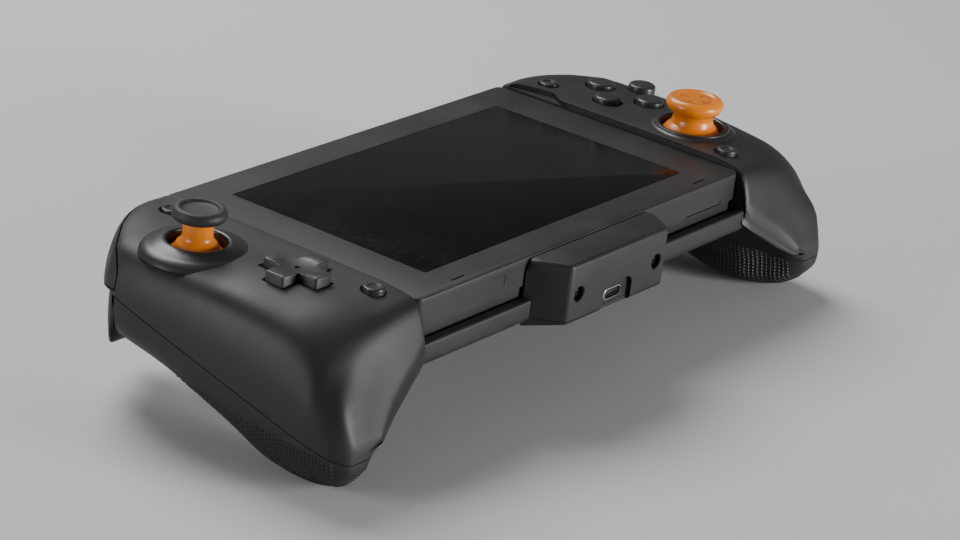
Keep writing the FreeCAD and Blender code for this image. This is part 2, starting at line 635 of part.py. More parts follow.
def screw_bosses(hull):
    """Bosses inside the back shell, one for each housing screw."""
    bosses = [hull.common(Part.makeCylinder(3.4, top + FAR, V(x, y, -FAR))) for x, y, top in SCREW_SPOTS]
    return bosses[0].fuse(bosses[1:])


def screw_holes():
    """Counterbored holes for the housing screws."""
    holes = []
    for (x, y, top), head in zip(SCREW_SPOTS, SCREW_HEADS):
        holes.append(Part.makeCylinder(size("head_radius") + 0.1, head + FAR, V(x, y, -FAR)))
        holes.append(Part.makeCylinder(size("screw_radius"), FAR, V(x, y, head)))
    return Part.makeCompound(holes)


def control_openings(side):
    """Openings through a front shell for its stick, pad and buttons, as one cutting shape."""
    low, high = -9, 12
    gap = size("button_gap")
    tools = []
    if side == "left":
        stick, lower = (size("stick_x"), size("stick_y")), (size("lower_x"), -size("lower_y"))
        tools.append(Part.makeCylinder(12.6, high - low, V(stick[0], stick[1], low)))
        room = size("pad_gap")
        tools.append(cross(lower, size("pad_span") / 2 + room, size("pad_arm") / 2 + room, low, high))
    else:
        stick, faces = (size("lower_x"), -size("lower_y")), (size("stick_x"), size("stick_y"))
        tools.append(Part.makeCylinder(12.4, high - low, V(stick[0], stick[1], low)))
        for dx, dy in FACES.values():
            spot = V(faces[0] + dx * size("face_pitch"), faces[1] + dy * size("face_pitch"), low)
            tools.append(Part.makeCylinder(size("face_radius") + gap, high - low, spot))
    for x, y in ((size("plus_x"), size("plus_y")), (size("home_x"), -size("home_y"))):
        tools.append(Part.makeCylinder(size("small_radius") + gap, high - low, V(x, y, low)))
    return tools[0].fuse(tools[1:])


FACES = {"top": (0, 1), "right": (1, 0), "bottom": (0, -1), "left": (-1, 0)}


def cross(centre, reach, half_arm, low, high):
    """A plus-shaped prism."""
    x, y = centre
    bars = [Part.makeBox(2 * a, 2 * b, high - low, V(x - a, y - b, low))
            for a, b in ((reach, half_arm), (half_arm, reach))]
    return bars[0].fuse(bars[1]).removeSplitter()


LEDGE = ((80.0, 52.0), (83.8, 47.9), (88.2, 45.5), (90.4, 37.0), (91.7, 31.4), (86.8, 24.0), (80.0, 24.0))
LEDGE_DEEP = 1.2


def handle(side):
    """Front and back shells of one handle, with the shoulder key and trigger cut out of them."""
    sign = SIDES[side]
    wall = size("shell_wall")
    face = size("console_length") / 2 + size("side_gap")
    hull = handle_body(0).cut(Part.makeBox(face, 4 * FAR, 4 * FAR, V(0, -2 * FAR, -2 * FAR)))
    room = handle_body(wall).cut(Part.makeBox(face + wall, 4 * FAR, 4 * FAR, V(0, -2 * FAR, -2 * FAR)))
    gap = size("bumper_gap")
    bumper_room = prism(bumper_plan(gap), -size("bumper_low") - gap, BUMPER_TOP)
    shell = hull.cut(room).cut(bumper_room)
    y, z, slope = size("seam_y"), -size("seam_z"), size("seam_slope")
    upper = side_prism([(y - FAR * 2, z - FAR * 2 * slope), (y + FAR, z + FAR * slope), (y + FAR, FAR),
                        (y - FAR * 2, FAR)], 0, FAR * 2)
    lowered = upper.translated(V(0, 0, -size("seam_gap")))
    ledge = prism(LEDGE, size("lip_rise") - LEDGE_DEEP, FAR)
    front = shell.common(upper).cut(trigger_room()).cut(ledge)
    openings = control_openings(side)
    front = front.cut(openings)
    back = shell.fuse(screw_bosses(hull)).cut(trigger_room()).fuse(trigger_walls(hull))
    back = back.cut(lowered).cut(screw_holes()).cut(bumper_room)
    keep(f"front_shell_{side}", solid(mirrored(front, sign)))
    keep(f"back_shell_{side}", solid(mirrored(back, sign)))
    shoulder_key(hull, side)
    trigger(side)
    trigger_spring(side)


# ---- controls ----

def arc_points(radius, first, last, centre_z, steps=10):
    """Points on an upright circle about the stick's axis, by polar angle in degrees from its top."""
    angles = [first + (last - first) * i / steps for i in range(steps + 1)]
    return [(radius * sin(radians(a)), centre_z + radius * cos(radians(a))) for a in angles]


STICKS = {
    "left": {"x": "-Size.stick_x", "y": "Size.stick_y", "hole": "left_hole"},
    "right": {"x": "Size.lower_x", "y": "-Size.lower_y", "hole": "right_hole"},
}


def stick_mechanism(side):
    """Stick module, gimbal ring and spindle: two crossed hinges under the stick's dome."""
    x, y = STICKS[side]["x"], STICKS[side]["y"]
    pivot = "-Size.stick_pivot"
    half = "Size.module_half"
    base = box(f"{x} - {half}", f"{y} - {half}", f"{pivot} - Size.module_deep", f"2 * {half}", f"2 * {half}",
               "Size.module_deep - 3.4")
    ears = [box(f"{x} + {at}", f"{y} - 1.7", f"{pivot} - 4", "1.2", "3.4", "6")
            for at in (f"{half} - 1.2", f"(-{half})")]
    bore = cylinder(f"{x} - {half} - 1", y, pivot, "1.3 + Size.pin_play", f"2 * {half} + 2", "X")
    keep(f"stick_module_{side}", cut(fuse(base, *ears), bore))
    ring = cut(box(f"{x} - 4.5", f"{y} - 4.5", f"{pivot} - 1.6", "9", "9", "3.2"),
               box(f"{x} - 2.5", f"{y} - 2.5", f"{pivot} - 2", "5", "5", "4"))
    stubs = [cylinder(f"{x} + {start}", y, pivot, "1.3", f"{half} - 4.4", "X")
             for start in ("4.3", f"(-{half} + 0.1)")]
    cross_bore = cylinder(x, f"{y} - 5", pivot, "0.9 + Size.pin_play", "10", "Y")
    keep(f"stick_gimbal_{side}", cut(fuse(ring, *stubs), cross_bore))
    shaft = cylinder(x, y, f"{pivot} - 1.4", "Size.spindle_radius", "Size.stick_pivot + 7.6")
    pin = cylinder(x, f"{y} - 4.4", pivot, "0.9", "8.8", "Y")
    keep(f"stick_spindle_{side}", fuse(shaft, pin))


def stick_caps():
    """The left stick's skirt and cap, the right stick's one-piece cap, and the ring round each."""
    rings = []
    pivot = -size("stick_pivot")
    bore = size("spindle_radius") + size("pin_play")
    bore_top = 7.2
    for side, neck, neck_top in (("left", 4.8, 10.1), ("right", 7.0, 7.0)):
        hole = size(STICKS[side]["hole"])
        dome = hole + 1.35
        x = -size("stick_x") if side == "left" else size("lower_x")
        y = size("stick_y") if side == "left" else -size("lower_y")
        meet = 90 * neck / dome * 0.72
        inside = arc_points(dome - size("dome_wall"), 75, 14, pivot)
        outside = arc_points(dome, meet, 75, pivot)
        profile = [(bore, inside[-1][1]), (bore, bore_top), (0, bore_top), (0, neck_top), (neck, neck_top)]
        profile = profile + outside + inside
        top = neck_top
        if side == "left":
            keep("stick_skirt_left", solid(turned(profile, x, y)))
            cap = [(0, top), (5.6, top), (7.7, top + 0.9), (8.45, top + 2.3), (7.9, top + 3.8),
                   (6.7, top + 4.4), (6.0, top + 3.9), (3.0, top + 3.5), (0, top + 3.4)]
            keep("stick_cap_left", solid(turned(cap, x, y)))
        else:
            cap = [(0, top + 5.4), (6.6, top + 5.5), (7.6, top + 6.1), (9.2, top + 5.6), (10.0, top + 4.2),
                   (9.8, top + 2.6), (8.4, top + 1.2), (neck, top)]
            keep("stick_cap_right", solid(turned(profile[:3] + cap + profile[5:], x, y)))
        ring_low = pivot + ((dome + size("dome_gap")) ** 2 - hole ** 2) ** 0.5
        rise = size("lip_rise")
        spigot = 12.5 if side == "left" else 12.3
        edge = size("collar_outer") if side == "left" else size("ring_outer")
        crown = 4.0 if side == "left" else 3.3
        outline = [(hole, ring_low), (hole, crown - 0.5), (hole + 0.8, crown), (hole + 2.0, crown),
                   (edge, rise + 0.05), (spigot, rise + 0.05), (spigot, ring_low)]
        rings.append(turned(outline, x, y))
    keep("stick_rings", solid(Part.makeCompound(rings)))


def crosspad():
    """The cross, the rocker plate under it."""
    centre = (-size("lower_x"), -size("lower_y"))
    rise = size("lip_rise") + size("pad_proud")
    low = -3.6
    arms = cross(centre, size("pad_span") / 2, size("pad_arm") / 2, low, rise)
    flange = Part.makeCylinder(size("pad_flange"), 1.0, V(*centre, low))
    dish_radius = 60.0
    dish = Part.makeSphere(dish_radius, V(*centre, rise + dish_radius - 0.55))
    keep("crosspad", solid(arms.cut(dish).fuse(flange)))
    rocker = cylinder("-Size.lower_x", "-Size.lower_y", "-Size.pad_sink - 0.2", "Size.pad_disc", "1.2")
    keep("crosspad_rocker", rocker)


def button(label, x, y, radius, proud, sink):
    """A round push button with a flange that keeps it under the shell."""
    stem = cylinder(x, y, f"-{sink}", radius, f"{sink} + Size.lip_rise + {proud}")
    flange = cylinder(x, y, f"-{sink}", f"{radius} + Size.flange_extra", "Size.flange_thick")
    keep(label, fuse(stem, flange))


def buttons():
    """Four face buttons and four small round ones."""
    for name, (dx, dy) in FACES.items():
        button(f"face_button_{name}", f"Size.stick_x + {dx} * Size.face_pitch",
               f"Size.stick_y + {dy} * Size.face_pitch", "Size.face_radius", "Size.face_proud",
               "Size.face_sink")
    for label, sign, x, y in (("minus_button", "-", "plus_x", "Size.plus_y"),
                              ("plus_button", "", "plus_x", "Size.plus_y"),
                              ("capture_button", "-", "home_x", "(-Size.home_y)"),
                              ("home_button", "", "home_x", "(-Size.home_y)")):
        button(label, f"{sign}Size.{x}", y, "Size.small_radius", "Size.small_proud", "Size.small_sink")


# ---- inside the handles ----

def handle_inside():
    """Control boards, button mats, rumble motors with their weights, and the screws."""
    board_z = -size("control_board_z")
    thick = size("control_board_thick")
    mat = size("membrane_thick")
    half = size("module_half") + 0.4
    boards, mats = [], []
    for side, sign in SIDES.items():
        board = Part.makeBox(35, 62, thick, V(91.5, -37, board_z - thick))
        lower = (size("lower_x"), -size("lower_y"))
        upper = (size("stick_x"), size("stick_y"))
        stick, keys = (upper, lower) if side == "left" else (lower, upper)
        clear = Part.makeBox(2 * half, 2 * half, 20, V(stick[0] - half, stick[1] - half, board_z - 10))
        boards.append(mirrored(board.cut(clear), sign))
        mats.append(mirrored(Part.makeCylinder(12.5, mat, V(keys[0], keys[1], board_z)).cut(clear), sign))
    keep("control_boards", solid(Part.makeCompound(boards)))
    keep("button_mats", solid(Part.makeCompound(mats)))
    motors = []
    x, y, z = size("motor_x"), -size("motor_y"), -size("motor_z")
    can = Part.makeCylinder(size("motor_radius"), size("motor_length"), V(x - size("motor_length") / 2, y, z),
                            V(1, 0, 0))
    start = x + size("motor_length") / 2
    shaft = Part.makeCylinder(size("shaft_radius"), 6.2, V(start, y, z), V(1, 0, 0))
    for sign in SIDES.values():
        motors.append(mirrored(can.fuse(shaft), sign))
    keep("rumble_motors", solid(Part.makeCompound(motors)))
    spot = V(start + 0.6, y, z)
    disc = Part.makeCylinder(size("weight_radius"), size("weight_length"), spot, V(1, 0, 0), 180)
    hub = Part.makeCylinder(size("shaft_radius") + 1.2, size("weight_length"), spot, V(1, 0, 0))
    bore = Part.makeCylinder(size("shaft_radius") + size("pin_play"), 20, V(start, y, z), V(1, 0, 0))
    for side, sign in SIDES.items():
        keep(f"rumble_weight_{side}", solid(mirrored(disc.fuse(hub).cut(bore), sign)))


def screws():
    """Screws in the clasp block's wells and in the back shells."""
    radius, length = size("screw_radius"), size("screw_length")
    head_radius, head_length = size("head_radius"), size("head_length")
    pieces = []
    front = -size("block_front") + size("well_deep") - head_length
    for x in (-size("well_x"), size("well_x")):
        head = rod_y(x, front, -size("well_z"), head_radius, head_length)
        pieces.append(head.fuse(rod_y(x, front + head_length, -size("well_z"), radius, 5.0)))
    for (x, y, top), at in zip(SCREW_SPOTS, SCREW_HEADS):
        head = Part.makeCylinder(head_radius, head_length, V(x, y, at - head_length))
        screw = head.fuse(Part.makeCylinder(radius - 0.02, length - 3, V(x, y, at)))
        pieces.extend(mirrored(screw, sign) for sign in SIDES.values())
    keep("housing_screws", solid(Part.makeCompound(pieces)))


console_shells()
console_inside()
console_keys()
tray()
clasp_block()
for side_name in SIDES:
    handle(side_name)
trigger_pins()
for side_name in SIDES:
    stick_mechanism(side_name)
stick_caps()
crosspad()
buttons()
handle_inside()
screws()
doc.recompute()

for obj in doc.Objects:
    if "Invalid" in obj.State or "Error" in obj.State:
        raise ValueError(f"{obj.Label} failed: {obj.State}")
os.makedirs("parts", exist_ok=True)
for piece in finished:
    if piece.Shape.isNull() or not piece.Shape.isValid():
        raise ValueError(piece.Label + " is not a valid shape")
    piece.Shape.exportStep(f"parts/{piece.Label}.step")
    print(piece.Label, len(piece.Shape.Solids), round(piece.Shape.Volume, 1))
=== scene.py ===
from math import cos, pi, radians, sin

import bmesh
import bpy
from mathutils import Matrix, Vector


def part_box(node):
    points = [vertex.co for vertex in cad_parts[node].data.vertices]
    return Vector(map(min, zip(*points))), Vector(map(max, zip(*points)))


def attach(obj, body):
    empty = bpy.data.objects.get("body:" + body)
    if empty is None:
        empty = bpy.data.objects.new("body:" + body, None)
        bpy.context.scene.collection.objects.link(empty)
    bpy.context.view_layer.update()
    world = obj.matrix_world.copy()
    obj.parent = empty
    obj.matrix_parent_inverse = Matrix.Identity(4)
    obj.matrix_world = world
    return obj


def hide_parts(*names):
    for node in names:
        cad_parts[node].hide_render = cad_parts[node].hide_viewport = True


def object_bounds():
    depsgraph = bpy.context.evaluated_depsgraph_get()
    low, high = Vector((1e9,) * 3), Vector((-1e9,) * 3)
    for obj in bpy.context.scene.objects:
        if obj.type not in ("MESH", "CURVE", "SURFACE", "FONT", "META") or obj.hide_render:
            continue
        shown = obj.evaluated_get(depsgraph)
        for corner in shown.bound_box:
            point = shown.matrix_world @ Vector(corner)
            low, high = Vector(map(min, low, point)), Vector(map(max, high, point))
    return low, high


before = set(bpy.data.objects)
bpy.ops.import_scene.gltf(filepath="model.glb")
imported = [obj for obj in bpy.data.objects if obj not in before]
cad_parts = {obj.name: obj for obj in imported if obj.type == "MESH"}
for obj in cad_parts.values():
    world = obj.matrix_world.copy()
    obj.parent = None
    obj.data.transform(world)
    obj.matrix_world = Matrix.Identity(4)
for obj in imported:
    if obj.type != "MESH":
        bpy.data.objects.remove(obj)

cad_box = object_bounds()

# ---------------------------------------------------------------- camera
# The console seen from its bottom left corner, a little above its face and turned a few degrees,
# with a long lens.
camera_data = bpy.data.cameras.new("camera")
camera_data.sensor_width = 36.0
camera_data.lens = 117.96
camera_data.clip_start = 0.05
camera_data.clip_end = 20.0
camera = bpy.data.objects.new("camera", camera_data)
bpy.context.scene.collection.objects.link(camera)
right = Vector((0.605825, -0.787790, 0.111188))
up = Vector((0.241850, 0.315510, 0.917590))
turn = Matrix((right, up, right.cross(up))).transposed()
camera.matrix_world = Matrix.Translation((-0.771796, -0.549438, 0.361903)) @ turn.to_4x4()
bpy.context.scene.camera = camera

# ---------------------------------------------------------------- floor and light
# A plain pale table top under the grips, soft lamps over it and on the camera's right, and an even
# pale room.
floor_mesh = bmesh.new()
bmesh.ops.create_grid(floor_mesh, x_segments=1, y_segments=1, size=4.0)
floor_level = cad_box[0][2] - 0.0005
bmesh.ops.translate(floor_mesh, verts=floor_mesh.verts, vec=(0, 0, floor_level))
floor_data = bpy.data.meshes.new("floor")
floor_mesh.to_mesh(floor_data)
floor_mesh.free()
floor = bpy.data.objects.new("floor", floor_data)
bpy.context.scene.collection.objects.link(floor)
floor_paint = bpy.data.materials.new("floor_paint")
floor_paint.use_nodes = True
floor_paint.node_tree.nodes["Principled BSDF"].inputs["Base Color"].default_value = (0.62, 0.62, 0.63, 1)
floor_paint.node_tree.nodes["Principled BSDF"].inputs["Roughness"].default_value = 0.7
floor.data.materials.append(floor_paint)

for name, place, aim, width, power, tint in (
    ("front_light", (0.35, -1.05, 0.10), (0.02, -0.05, -0.02), 0.45, 17.0, (1.0, 0.99, 0.97)),
    ("top_light", (0.25, 0.75, 0.95), (0.0, 0.0, 0.0), 0.8, 15.0, (0.97, 0.98, 1.0)),
    ("left_light", (-1.05, 0.45, 0.30), (-0.1, 0.0, -0.02), 0.5, 6.0, (0.96, 0.98, 1.0)),
):
    lamp_data = bpy.data.lights.new(name, "AREA")
    lamp_data.shape = "DISK"
    lamp_data.size = width
    lamp_data.energy = power
    lamp_data.color = tint
    lamp = bpy.data.objects.new(name, lamp_data)
    bpy.context.scene.collection.objects.link(lamp)
    aimed = (Vector(aim) - Vector(place)).to_track_quat("-Z", "Y")
    lamp.matrix_world = Matrix.Translation(place) @ aimed.to_matrix().to_4x4()
room = bpy.data.worlds.new("room")
room.use_nodes = True
room.node_tree.nodes["Background"].inputs["Color"].default_value = (0.80, 0.82, 0.85, 1)
room.node_tree.nodes["Background"].inputs["Strength"].default_value = 0.16
bpy.context.scene.world = room

# ---------------------------------------------------------------- handles
# Two hollow handles of matt black plastic, each a front and a back shell screwed together along a
# sloping seam.
# Every plastic piece is injection moulded with a fine spark-eroded grain, which handling polishes
# on its edges.
MM = 0.001


def moulding_group():
    """Colour, roughness and height of grained plastic, with paler worn edges, faint handling marks and dust."""
    group = bpy.data.node_groups.new("moulded_plastic", "ShaderNodeTree")
    face = group.interface
    for label, kind, value in (
        ("Color", "NodeSocketColor", (0.03, 0.03, 0.03, 1)),
        ("Edge Color", "NodeSocketColor", (0.1, 0.1, 0.1, 1)),
        ("Roughness", "NodeSocketFloat", 0.5),
        ("Grain Size", "NodeSocketFloat", 1.0),
        ("Edge Wear", "NodeSocketFloat", 0.3),
        ("Dust", "NodeSocketFloat", 0.1),
    ):
        socket = face.new_socket(label, in_out="INPUT", socket_type=kind)
        socket.default_value = value
    face.new_socket("Color", in_out="OUTPUT", socket_type="NodeSocketColor")
    face.new_socket("Roughness", in_out="OUTPUT", socket_type="NodeSocketFloat")
    face.new_socket("Height", in_out="OUTPUT", socket_type="NodeSocketFloat")
    nodes, links = group.nodes, group.links
    source = nodes.new("NodeGroupInput")
    sink = nodes.new("NodeGroupOutput")
    place = nodes.new("ShaderNodeTexCoord")

    def noise(scale, detail, grain=False):
        node = nodes.new("ShaderNodeTexNoise")
        node.inputs["Scale"].default_value = scale
        node.inputs["Detail"].default_value = detail
        if grain:
            times = nodes.new("ShaderNodeMath")
            times.operation = "DIVIDE"
            times.inputs[0].default_value = scale
            links.new(source.outputs["Grain Size"], times.inputs[1])
            links.new(times.outputs[0], node.inputs["Scale"])
        links.new(place.outputs["Object"], node.inputs["Vector"])
        return node.outputs["Fac"]

    def ranged(value, low, high, to_low, to_high):
        node = nodes.new("ShaderNodeMapRange")
        for index, number in enumerate((low, high, to_low, to_high), start=1):
            node.inputs[index].default_value = number
        links.new(value, node.inputs[0])
        return node.outputs[0]

    def maths(kind, first, second):
        node = nodes.new("ShaderNodeMath")
        node.operation = kind
        node.use_clamp = kind in ("MULTIPLY", "ADD")
        for socket, value in zip(node.inputs, (first, second)):
            if isinstance(value, (int, float)):
                socket.default_value = value
            else:
                links.new(value, socket)
        return node.outputs[0]

    def mixed(factor, first, second):
        node = nodes.new("ShaderNodeMix")
        node.data_type = "RGBA"
        links.new(factor, node.inputs["Factor"])
        for socket, value in zip((node.inputs[6], node.inputs[7]), (first, second)):
            if isinstance(value, tuple):
                socket.default_value = value
            else:
                links.new(value, socket)
        return node.outputs[2]

    grain = noise(2600.0, 3.0, grain=True)
    cloud = noise(38.0, 3.0)
    rub = noise(160.0, 5.0)
    shape = nodes.new("ShaderNodeNewGeometry")
    edge = ranged(shape.outputs["Pointiness"], 0.52, 0.60, 0.0, 1.0)
    worn = maths("MULTIPLY", maths("MULTIPLY", edge, ranged(rub, 0.35, 0.65, 0.3, 1.0)),
                 source.outputs["Edge Wear"])
    upward = nodes.new("ShaderNodeSeparateXYZ")
    links.new(shape.outputs["Normal"], upward.inputs[0])
    facing = ranged(upward.outputs["Z"], 0.3, 1.0, 0.0, 1.0)
    specks = ranged(noise(900.0, 2.0), 0.62, 0.78, 0.0, 1.0)
    dust = maths("MULTIPLY", maths("MULTIPLY", facing, specks), source.outputs["Dust"])
    base = mixed(ranged(cloud, 0.3, 0.7, 0.0, 0.25), source.outputs["Color"],
                 source.outputs["Edge Color"])
    edged = mixed(worn, base, source.outputs["Edge Color"])
    dusted = mixed(dust, edged, (0.35, 0.34, 0.32, 1))
    links.new(dusted, sink.inputs["Color"])
    handled = ranged(cloud, 0.3, 0.7, -0.05, 0.06)
    fine = ranged(grain, 0.3, 0.7, -0.03, 0.04)
    rough = maths("ADD", maths("ADD", source.outputs["Roughness"], handled), fine)
    links.new(maths("SUBTRACT", rough, maths("MULTIPLY", worn, 0.12)), sink.inputs["Roughness"])
    links.new(maths("ADD", maths("MULTIPLY", grain, 0.8), maths("MULTIPLY", rub, 0.2)),
              sink.inputs["Height"])
    return group


moulded = moulding_group()


def plastic(name, color, edge_color, roughness, grain=1.0, depth=0.02, wear=0.3, dust=0.1, coat=0.0,
            sheen=0.4):
    """A moulded plastic: grain size is in units of about 0.4 mm and depth in millimetres."""
    material = bpy.data.materials.new(name)
    material.use_nodes = True
    nodes, links = material.node_tree.nodes, material.node_tree.links
    shader = nodes["Principled BSDF"]
    surface = nodes.new("ShaderNodeGroup")
    surface.node_tree = moulded
    surface.inputs["Color"].default_value = (*color, 1)
    surface.inputs["Edge Color"].default_value = (*edge_color, 1)
    surface.inputs["Roughness"].default_value = roughness
    surface.inputs["Grain Size"].default_value = grain
    surface.inputs["Edge Wear"].default_value = wear
    surface.inputs["Dust"].default_value = dust
    bump = nodes.new("ShaderNodeBump")
    bump.inputs["Strength"].default_value = 0.6
    bump.inputs["Distance"].default_value = depth * MM
    links.new(surface.outputs["Color"], shader.inputs["Base Color"])
    links.new(surface.outputs["Roughness"], shader.inputs["Roughness"])
    links.new(surface.outputs["Height"], bump.inputs["Height"])
    links.new(bump.outputs["Normal"], shader.inputs["Normal"])
    shader.inputs["IOR"].default_value = 1.5
    shader.inputs["Specular IOR Level"].default_value = sheen
    shader.inputs["Coat Weight"].default_value = coat
    shader.inputs["Coat Roughness"].default_value = 0.2
    return material


def piece(name, mesh, material, body, stands_for=(), sharp=38):
    """Turn a finished bmesh into an object that rides on its body."""
    bmesh.ops.remove_doubles(mesh, verts=mesh.verts, dist=1e-7)
    for f in mesh.faces:
        f.smooth = True
    for e in mesh.edges:
        e.smooth = len(e.link_faces) == 2 and e.calc_face_angle(0) < radians(sharp)
    data = bpy.data.meshes.new(name)
    mesh.to_mesh(data)
    mesh.free()
    data.materials.append(material)
    obj = bpy.data.objects.new(name, data)
    bpy.context.scene.collection.objects.link(obj)
    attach(obj, body)
    if stands_for:
        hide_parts(*stands_for)
    return obj


def carve(mesh, tools, operation="DIFFERENCE"):
    """The bmesh with each tool bmesh cut from it, or only what they share."""
    data = bpy.data.meshes.new("blank")
    mesh.to_mesh(data)
    mesh.free()
    blank = bpy.data.objects.new("blank", data)
    bpy.context.scene.collection.objects.link(blank)
    helpers = []
    for tool in tools:
        tool_data = bpy.data.meshes.new("tool")
        tool.to_mesh(tool_data)
        tool.free()
        helper = bpy.data.objects.new("tool", tool_data)
        bpy.context.scene.collection.objects.link(helper)
        helpers.append(helper)
        modifier = blank.modifiers.new("carve", "BOOLEAN")
        modifier.operation = operation
        modifier.solver = "MANIFOLD"
        modifier.object = helper
    bpy.context.view_layer.update()
    result = bmesh.new()
    result.from_object(blank, bpy.context.evaluated_depsgraph_get())
    for extra in helpers + [blank]:
        bpy.data.objects.remove(extra)
    bmesh.ops.dissolve_degenerate(result, edges=result.edges, dist=1e-6)
    return result


def slab(low, high, corner=0.0, edge=0.0, both=False):
    """A block between two corners, with rounded uprights and a rounded upper rim."""
    mesh = bmesh.new()
    low, high = Vector(low) * MM, Vector(high) * MM
    bmesh.ops.create_cube(mesh, size=1.0, matrix=Matrix.Translation((low + high) / 2) @ Matrix.Diagonal(
        (*(high - low), 1.0)))
    if corner:
        upright = [e for e in mesh.edges if abs(e.verts[0].co.z - e.verts[1].co.z) > 1e-6]
        bmesh.ops.bevel(mesh, geom=upright, offset=corner * MM, segments=6, profile=0.5, affect="EDGES",
                        material=-1)
    if edge:
        def flat(e, z):
            return all(abs(v.co.z - z) < 1e-7 for v in e.verts)
        rim = [e for e in mesh.edges if flat(e, high.z) or (both and flat(e, low.z))]
        bmesh.ops.bevel(mesh, geom=rim, offset=edge * MM, segments=3, profile=0.5, affect="EDGES",
                        material=-1)
    return mesh


def spun(points, x, y, steps=72):
    """A profile of (radius, z) points in millimetres spun about an upright axis."""
    mesh = bmesh.new()
    verts = [mesh.verts.new((r * MM, 0, z * MM)) for r, z in points]
    edges = [mesh.edges.new(pair) for pair in zip(verts, verts[1:])]
    bmesh.ops.spin(mesh, geom=verts + edges, cent=(0, 0, 0), axis=(0, 0, 1), angle=2 * pi, steps=steps,
                   use_merge=True)
    bmesh.ops.remove_doubles(mesh, verts=mesh.verts, dist=1e-6)
    bmesh.ops.recalc_face_normals(mesh, faces=mesh.faces)
    bmesh.ops.translate(mesh, verts=mesh.verts, vec=(x * MM, y * MM, 0))
    return mesh


def joined(*meshes):
    """Several bmeshes as one."""
    whole = meshes[0]
    for extra in meshes[1:]:
        data = bpy.data.meshes.new("part")
        extra.to_mesh(data)
        extra.free()
        whole.from_mesh(data)
        bpy.data.meshes.remove(data)
    return whole


def centre(node):
    """The middle of a CAD node's box."""
    low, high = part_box(node)
    return (low + high) / 2



grip_black = plastic("grip_black", (0.0105, 0.0105, 0.011), (0.034, 0.034, 0.035), 0.50, 1.0, 0.016,
                     0.35, 0.05)
SIDES = {"left": -1, "right": 1}
WALL_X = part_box("front_shell_right")[0].x / MM
STATIONS = (
    (51.5, 82.0, 97.0, -3.0, 0.0, -10.0, 85.0, -16.0),
    (50.0, 82.0, 103.0, 0.2, 0.0, -13.0, 86.0, -20.0),
    (47.0, 82.0, 111.0, 1.6, 0.0, -16.0, 87.0, -23.0),
    (42.0, 82.0, 120.0, 2.2, 0.0, -19.0, 88.0, -25.5),
    (36.0, 82.0, 127.5, 2.2, 0.0, -20.5, 90.0, -27.5),
    (29.0, 82.0, 131.8, 2.2, 0.0, -21.2, 92.0, -29.5),
    (8.0, 82.0, 132.8, 2.2, 0.0, -21.5, 95.0, -33.5),
    (-16.0, 82.0, 133.0, 2.2, 0.3, -21.5, 98.0, -41.5),
    (-30.0, 82.0, 133.0, 2.0, 1.0, -21.5, 101.0, -47.5),
    (-38.0, 82.0, 133.0, 1.9, 1.8, -21.5, 103.0, -49.2),
    (-44.5, 82.0, 133.0, 1.3, 3.2, -21.0, 105.0, -49.6),
    (-49.5, 82.0, 132.9, 0.4, 5.2, -19.6, 107.6, -49.2),
    (-52.4, 82.0, 132.5, -1.8, 6.2, -18.6, 109.3, -48.4),
    (-54.4, 83.5, 132.2, -7.0, 4.2, -19.6, 110.3, -47.8),
    (-56.4, 91.0, 131.7, -14.2, 0.8, -24.0, 111.9, -46.7),
    (-59.5, 104.0, 130.5, -22.5, -1.5, -32.0, 114.5, -44.5),
    (-62.5, 112.0, 128.0, -29.5, 0.0, -35.0, 118.0, -41.0),
)


def eased(before, start, end, after, t):
    """A smooth curve from start to end that leaves and arrives along its neighbours."""
    return 0.5 * (2 * start + (end - before) * t + (2 * before - 5 * start + 4 * end - after) * t ** 2
                  + (3 * start - before - 3 * end + after) * t ** 3)


def flowing(points, steps=4):
    """The points with a smooth curve through them."""
    path = []
    last = len(points) - 1
    for i in range(last):
        near = (points[max(i - 1, 0)], points[i], points[i + 1], points[min(i + 2, last)])
        path += [tuple(eased(*values, k / steps) for values in zip(*near)) for k in range(steps)]
    return path + [points[last]]


def section(station):
    """Points round one cross section of the right handle, in millimetres."""
    y, inner, outer, top, drop, hip, grip, low = station
    wide, deep = outer - inner, top - low
    wall = max(WALL_X, inner)
    turn_in = min(1.3 + max(0.0, -50.0 - y) * 0.3, 0.28 * (top - hip), 0.2 * wide)
    corners = [
        (wall, (top + hip) / 2), (wall, top - turn_in), (wall + turn_in * 0.3, top - turn_in * 0.28),
        (wall + turn_in, top), (inner + 0.33 * wide, top - 0.15 * drop),
        (inner + 0.64 * wide, top - 0.7 * drop),
        (outer - 0.12 * wide, top - 0.07 * deep - 1.3 * drop),
        (outer - 0.02 * wide, top - 0.3 * deep - 0.8 * drop), (outer, top - 0.6 * deep),
        (outer - 0.04 * wide, low + 0.15 * deep), (outer - 0.18 * wide, low + 0.02 * deep),
        ((grip + outer) / 2 - 0.04 * wide, low), (grip + 0.06 * wide, low + 0.08 * deep),
        (grip, low + 0.45 * (hip - low)), (max(wall + 1.0, inner + 0.6 * (grip - inner)), hip),
        (wall, hip + min(3.2, 0.3 * (top - hip))),
    ]
    count = len(corners)
    points = []
    for i in range(count):
        near = [corners[(i + k) % count] for k in (-1, 0, 1, 2)]
        span = 3 if i in (1, 2, 14, 15) else 5
        points += [tuple(eased(*values, t / span) for values in zip(*near)) for t in range(span)]
    return points


def handle_rows():
    """Evenly stepped stations down the handle, each with its section."""
    last = len(STATIONS) - 1
    rows = []
    for i in range(last):
        near = (STATIONS[max(i - 1, 0)], STATIONS[i], STATIONS[i + 1], STATIONS[min(i + 2, last)])
        steps = 4 if STATIONS[i][0] - STATIONS[i + 1][0] > 4 else 2
        rows += [[eased(*values, k / steps) for values in zip(*near)] for k in range(steps)]
    rows.append(STATIONS[last])
    return [(row[0], section(row)) for row in rows]


ROWS = handle_rows()


